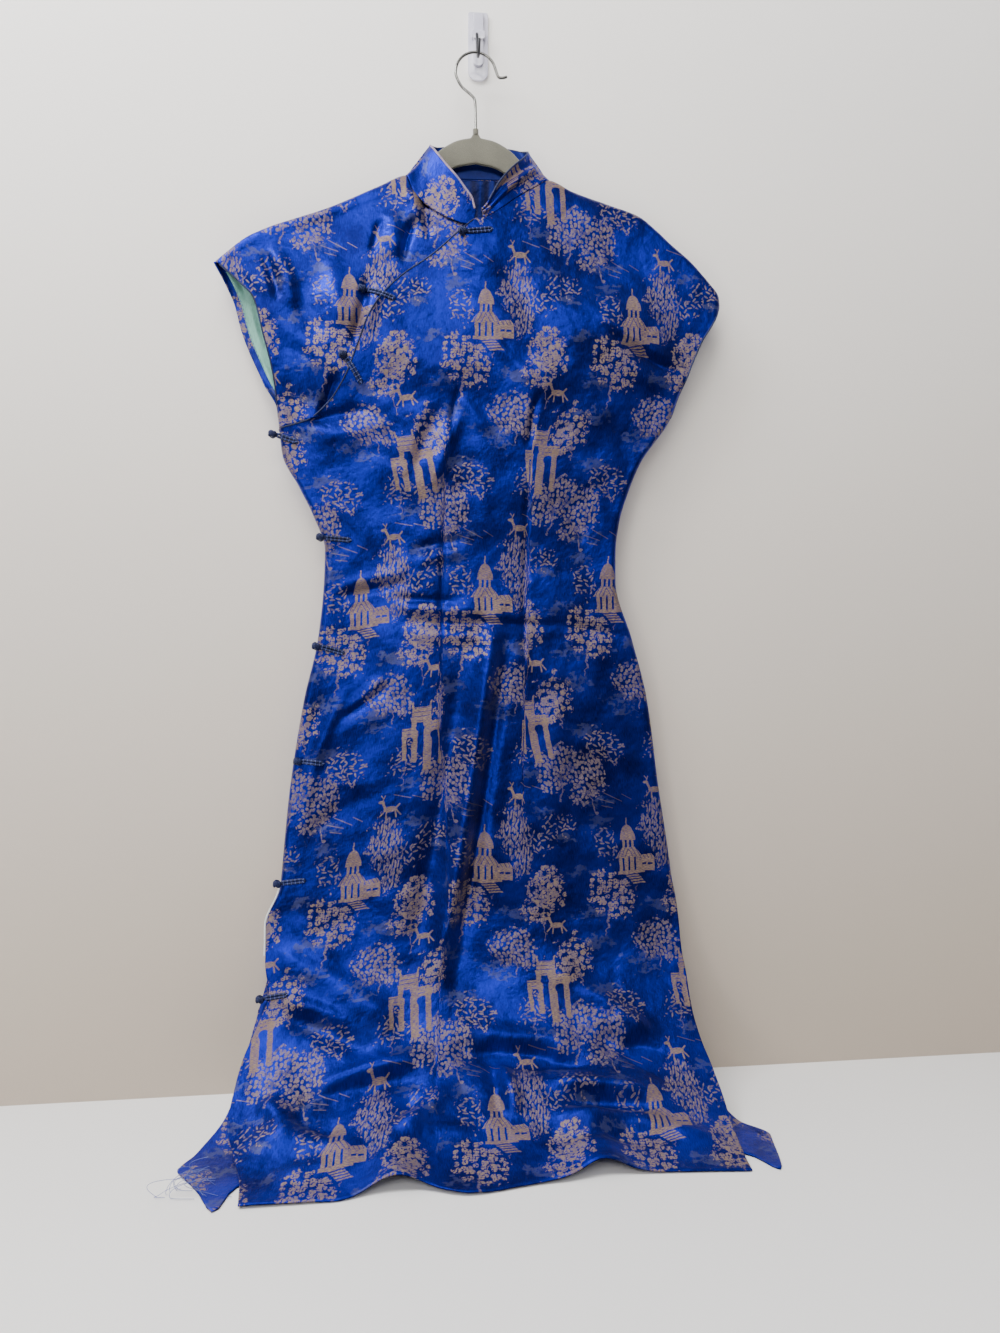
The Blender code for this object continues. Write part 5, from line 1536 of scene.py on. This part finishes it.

# %% [markdown]
# ## Piping, edging and loose threads
# The collar's edge has a narrow tan piping on its left half. The sleeve and
# the slits are edged with thin rolled cord, and the slit's seam allowance shows white.
# Along the closing a thin dark cord is a painted shade line, for the shaded pockets under
# the front's edge. At the table the hem's corner has come undone, so a few threads stand
# out from it.

# %% Make the piping and the edging


def on_front(points, recess=0.0, side=1, seed=None, out=0.0):
    """Points just outside the cloth, from cloth places."""
    points = np.array(points)
    found = cloth(points[:, 0], points[:, 1], side, recess, seed)
    found[:, 1] -= out
    return found


collar_edge = collar_grid(np.linspace(0, 1, 260), 8)[-1]
collar_tan = cord_along("collar_piping_tan", [collar_edge[3:106]], 0.0013, piping, sides=8)
collar_blue = cord_along("collar_piping_blue", [collar_edge[105:257]], 0.0011, cord, sides=8)
# Painted shade: a thin dark cord along the closing stands in for the shade under the front's edge.
placket = read_line(PLACKET, -0.010, -0.212, 120)
placket_line = on_front(placket, out=0.0006)
closing_shade_line = cord_along("closing_painted_shade", [placket_line], 0.0009, cord, sides=8)
right_places = side_line("front_right", 0.272, 0.408, 80) + np.array([0.0002, 0])
right_line = on_front(right_places, out=0.0004)
right_sleeve = cord_along("right_sleeve_piping", [right_line], 0.0010, cord, sides=8)
left_places = side_line("front_left", 0.262, 0.418, 80)
left_line = on_front(left_places, seed=LAP_SEED, out=0.0002)
left_sleeve = cord_along("left_sleeve_piping", [left_line], 0.0010, cord, sides=8)
slit_places = side_line("front_left", 0.914, 0.992, 60) + np.array([-0.0012, 0])
slit_line = on_front(slit_places, out=-0.0008)
slit_edge = cord_along("slit_edging", [slit_line], 0.0011, white_edge, sides=8)
lining_rows = np.linspace(0.270, 0.408, 70)
lining_places = np.stack([SIDES.read("back_left", lining_rows) + 0.0080, lining_rows], axis=-1)
lining_line = cloth(lining_places[:, 0], lining_places[:, 1], -1)
lining_line[:, 1] -= 0.0030
facing_stitches = stitches_along("facing_stitches", [lining_line], spacing=0.0045, length=0.0013,
                                 width=0.00035, finish=thread)
trims = [collar_tan, collar_blue, closing_shade_line, right_sleeve, left_sleeve, slit_edge, facing_stitches]
print("trims:", [thing.name for thing in trims])

# %% Loose threads at the hem's corner
THREAD_COUNT, THREAD_RADIUS, THREAD_SEED = 15, 0.00022, 71
THREAD_LIMIT_X = -0.322

chance = np.random.default_rng(THREAD_SEED)
threads = []
for _ in range(THREAD_COUNT):
    start = np.array([-0.288 + 0.030 * chance.random(), -0.185 - 0.02 * chance.random(), TABLE_Z + 0.004])
    start[2] += 0.022 * chance.random()
    reach = 0.018 + 0.030 * chance.random()
    swing = chance.uniform(1.6, 4.2)
    heading = chance.uniform(-0.6, 0.9)
    t = np.linspace(0, 1, 16)
    x = start[0] - reach * 0.62 * np.sin(swing * t) * math.cos(heading) - 0.004 * t
    y = start[1] - reach * 0.45 * t * math.sin(heading + 0.7)
    z = start[2] + reach * 0.75 * np.sin(heading) * t - 0.020 * t * t
    x, z = np.maximum(x, THREAD_LIMIT_X), np.maximum(z, TABLE_Z + 0.0006)
    threads.append(np.stack([x, y, z], axis=-1))
loose = cord_along("loose_threads", threads, THREAD_RADIUS, thread, sides=5, step=0.0020)
trims.append(loose)
print("loose threads:", len(threads))

# %% [markdown]
# ## The hanger
# A thin flocked hanger: a flat bar with rounded edges that curves down to both shoulders,
# and a small nub where the steel wire is screwed in. Only its middle shows in the neck.

# %% Make the hanger's body
HANGER_Y, HANGER_X, HANGER_TOP_Z = -0.0240, -0.0050, -0.1124
HANGER_CURVE = Table("x drop tall",
                     (0, 0, 28), (18, 3.4, 28), (36, 12.8, 28), (60, 37, 26), (84, 56, 25),
                     (103, 63, 25), (150, 78, 24), (180, 89, 23), (213, 104, 21), (222, 110, 15))
HANGER_THICK, HANGER_TILT = 0.0044, 2.0
NUB_TALL, NUB_HALF_WIDTH = 0.0050, 0.0042
AROUND = 28

half_thick = HANGER_THICK / 2
x = np.concatenate([np.linspace(-0.222, -0.012, 70), np.linspace(-0.0105, 0.0105, 29),
                    np.linspace(0.012, 0.222, 70)])
drop, tall = HANGER_CURVE.read("drop", np.abs(x)), HANGER_CURVE.read("tall", np.abs(x))
nub = NUB_TALL * np.exp(-(x / NUB_HALF_WIDTH) ** 4)
rise = x * math.tan(math.radians(HANGER_TILT))
across = x + HANGER_X
covered = (across < NECK_LEFT_X) | (across > NECK_RIGHT_X)
seam = -TOP.read("s", across) - WALL / 2 - 0.0012
top = HANGER_TOP_Z - drop + rise
top = np.where(covered, np.minimum(top, seam), top) + nub
bottom = HANGER_TOP_Z - drop - tall + rise
turn = np.linspace(0, 2 * math.pi, AROUND, endpoint=False)
squared_y = np.sign(np.sin(turn)) * np.abs(np.sin(turn)) ** 0.6
squared_z = np.sign(np.cos(turn)) * np.abs(np.cos(turn)) ** 0.16
points = np.stack([np.repeat(across[:, None], AROUND, 1),
                   HANGER_Y + half_thick * np.repeat(squared_y[None], len(x), 0),
                   (top + bottom)[:, None] / 2 + (top - bottom)[:, None] / 2 * squared_z[None]], axis=-1)
faces = []
for r in range(len(x) - 1):
    for k in range(AROUND):
        a, b = r * AROUND + k, r * AROUND + (k + 1) % AROUND
        faces.append((a, a + AROUND, b + AROUND, b))
faces.append(tuple(range(AROUND)))
faces.append(tuple((len(x) - 1) * AROUND + k for k in reversed(range(AROUND))))
hanger = add_piece("hanger_flocked", points.reshape(-1, 3), faces, [flock], sharp=50)
if volume_of(hanger.data) < 0:
    hanger.data.flip_normals()
print("hanger:", round(float(across[-1] - across[0]) * 1000), "mm wide")

# %% [markdown]
# ## The wires
# The hanger's hook is one steel wire: a round loop with a short turned-out tip, and a
# stem that bends back under the loop. The wall hook's own wire is thinner and dark. Both
# are smooth lines through a few points, swept with a round section.

# %% Make the steel hook and the wall hook's wire
WIRE_RADIUS, LOOP_RADIUS, LOOP_Z, FERRULE_RADIUS = 0.0015, 0.0218, -0.0436, 0.0031
PLATE_WIDTH, PLATE_TOP, PLATE_BOTTOM = 0.0220, 0.0345, -0.0390


def smooth_line(points, steps):
    """A smooth line through a few points, evenly divided."""
    points = np.array(points, dtype=float)
    padded = np.concatenate([2 * points[:1] - points[1:2], points, 2 * points[-1:] - points[-2:-1]])
    line = []
    for a, b, c, d in zip(padded, padded[1:], padded[2:], padded[3:]):
        for t in np.linspace(0, 1, 12, endpoint=False):
            line.append(0.5 * (2 * b + (c - a) * t + (2 * a - 5 * b + 4 * c - d) * t ** 2
                               + (3 * b - a - 3 * c + d) * t ** 3))
    line.append(points[-1])
    return along(line, np.linspace(0, 1, steps))


centre_x = HANGER_X + 0.0004
line = [(centre_x + a, LOOP_Z + b) for a, b in ((0.0335, -0.0020), (0.0290, -0.0035), (0.0243, -0.0028))]
for degrees in range(12, 196, 20):
    angle = math.radians(degrees)
    line.append((centre_x + LOOP_RADIUS * math.cos(angle), LOOP_Z + LOOP_RADIUS * math.sin(angle)))
line += [(centre_x - 0.0160, LOOP_Z - 0.0150), (centre_x - 0.0070, LOOP_Z - 0.0225),
         (HANGER_X - 0.0016, LOOP_Z - 0.0275), (HANGER_X - 0.0004, LOOP_Z - 0.0345),
         (HANGER_X, -0.094), (HANGER_X, HANGER_TOP_Z + 0.0048)]
hook_line = smooth_line([(a, HANGER_Y, b) for a, b in line], 160)
hook_wire = cord_along("hanger_hook_wire", [hook_line], WIRE_RADIUS, steel, sides=18, step=0.0011)
ferrule_line = [(HANGER_X, HANGER_Y, HANGER_TOP_Z + 0.0085), (HANGER_X, HANGER_Y, HANGER_TOP_Z + 0.0030)]
ferrule = cord_along("hanger_ferrule", [ferrule_line], FERRULE_RADIUS, flock, sides=20, step=0.002)
saddle = LOOP_Z + LOOP_RADIUS - 2 * WIRE_RADIUS - SEAM_GAP - 0.0002
wall_line = [(-0.0020, y, z) for y, z in
             ((-0.0030, 0.0080), (-0.0066, 0.0080), (-0.0092, 0.0050), (-0.0120, -0.0070), (-0.0165, -0.0190),
              (-0.0210, saddle + 0.0008), (HANGER_Y - 0.0005, saddle), (-0.0285, saddle + 0.0015),
              (-0.0318, -0.0185), (-0.0330, -0.0120))]
bent_line = smooth_line(wall_line, 90)
wall_wire = cord_along("wall_hook_bent_wire", [bent_line], WIRE_RADIUS, dark_wire, sides=16,
                       step=0.0011)
print("hook wire faces:", len(hook_wire.data.polygons))

# %% [markdown]
# ## The wall hook
# A clear plastic plate, stuck to the wall, with a narrower raised channel down its middle
# that holds the wire. A bevel rounds the front edges of each slab.

# %% Make the wall hook's plate and channel


def rounded_slab(name, width, top_z, bottom_z, back_y, front_y, top_round, low_round, bevel, finish):
    """A flat slab with rounded corners and a soft front edge."""
    half = width / 2
    outline = []
    for cx, cz, radius, start in ((half - top_round, top_z - top_round, top_round, 0),
                                  (-half + top_round, top_z - top_round, top_round, 90),
                                  (-half + low_round, bottom_z + low_round, low_round, 180),
                                  (half - low_round, bottom_z + low_round, low_round, 270)):
        for step in range(9):
            angle = math.radians(start + 11.25 * step)
            outline.append((cx + radius * math.cos(angle), cz + radius * math.sin(angle)))
    shape = bmesh.new()
    rings = [[shape.verts.new((a, y, b)) for a, b in outline] for y in (back_y, front_y)]
    count = len(outline)
    shape.faces.new(rings[0])
    shape.faces.new(list(reversed(rings[1])))
    for k in range(count):
        shape.faces.new((rings[0][k], rings[1][k], rings[1][(k + 1) % count], rings[0][(k + 1) % count]))
    bmesh.ops.recalc_face_normals(shape, faces=shape.faces)
    front_edges = [edge for edge in shape.edges if all(abs(v.co.y - front_y) < 1e-6 for v in edge.verts)]
    bmesh.ops.bevel(shape, geom=front_edges, offset=bevel, segments=3, profile=0.6, affect="EDGES")
    mesh = bpy.data.meshes.new(name)
    shape.to_mesh(mesh)
    shape.free()
    mesh.shade_smooth()
    mesh.set_sharp_from_angle(angle=math.radians(35))
    mesh.materials.append(finish)
    made = bpy.data.objects.new(name, mesh)
    bpy.context.scene.collection.objects.link(made)
    return made


plate = rounded_slab("wall_hook_back_plate", width=PLATE_WIDTH, top_z=PLATE_TOP, bottom_z=PLATE_BOTTOM,
                     back_y=0.0, front_y=-0.0019, top_round=0.003, low_round=0.009, bevel=0.0007,
                     finish=clear_skin)
channel = rounded_slab("wall_hook_channel", width=0.0112, top_z=0.0325, bottom_z=-0.0250,
                       back_y=-0.0017, front_y=-0.0052, top_round=0.0024, low_round=0.0050,
                       bevel=0.0010, finish=clear_skin)
lip = rounded_slab("wall_hook_lip", width=0.0150, top_z=0.0125, bottom_z=0.0030,
                   back_y=-0.0017, front_y=-0.0070, top_round=0.0022, low_round=0.0040,
                   bevel=0.0012, finish=clear_skin)
print("wall hook pieces:", plate.name, channel.name, lip.name)

# %% [markdown]
# ## The pieces on the body
# Every piece rides on the one body, and the imported solids that the pieces are made again
# from are hidden. The area of one layer of each cloth piece is printed.

# %% Attach the pieces and hide the imported solids
slots = {front: "brocade", back: "brocade", lap: "brocade", collar: "brocade", sleeve_lining: "lining",
         collar_tan: "cord", collar_blue: "cord", closing_shade_line: "cord", right_sleeve: "cord",
         left_sleeve: "cord", slit_edge: "lining", facing_stitches: "cord", loose: "cord", hanger: "flock",
         ferrule: "flock", hook_wire: "steel", wall_wire: "dark_wire", plate: "clear_plastic",
         channel: "clear_plastic", lip: "clear_plastic"}
for piece in frog_pieces:
    slots[piece] = "cord"
for piece, slot_name in slots.items():
    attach(piece, "root")
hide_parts("front")
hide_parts("back")
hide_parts("underlap")
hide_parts("collar")
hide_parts("sleeve_lining")
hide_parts("hanger_body")
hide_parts("hanger_hook")
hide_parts("wall_hook_wire")
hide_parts("wall_hook_plate")
for piece, node in zip(frog_pieces, FROG_NODES):
    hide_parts(node)


def layer_area(piece):
    """Half of a closed cloth wall's area: one layer."""
    return sum(face.area for face in piece.data.polygons) / 2


for piece in (front, back, lap, collar, sleeve_lining):
    print(piece.name, "one layer:", round(layer_area(piece), 4), "square metres")
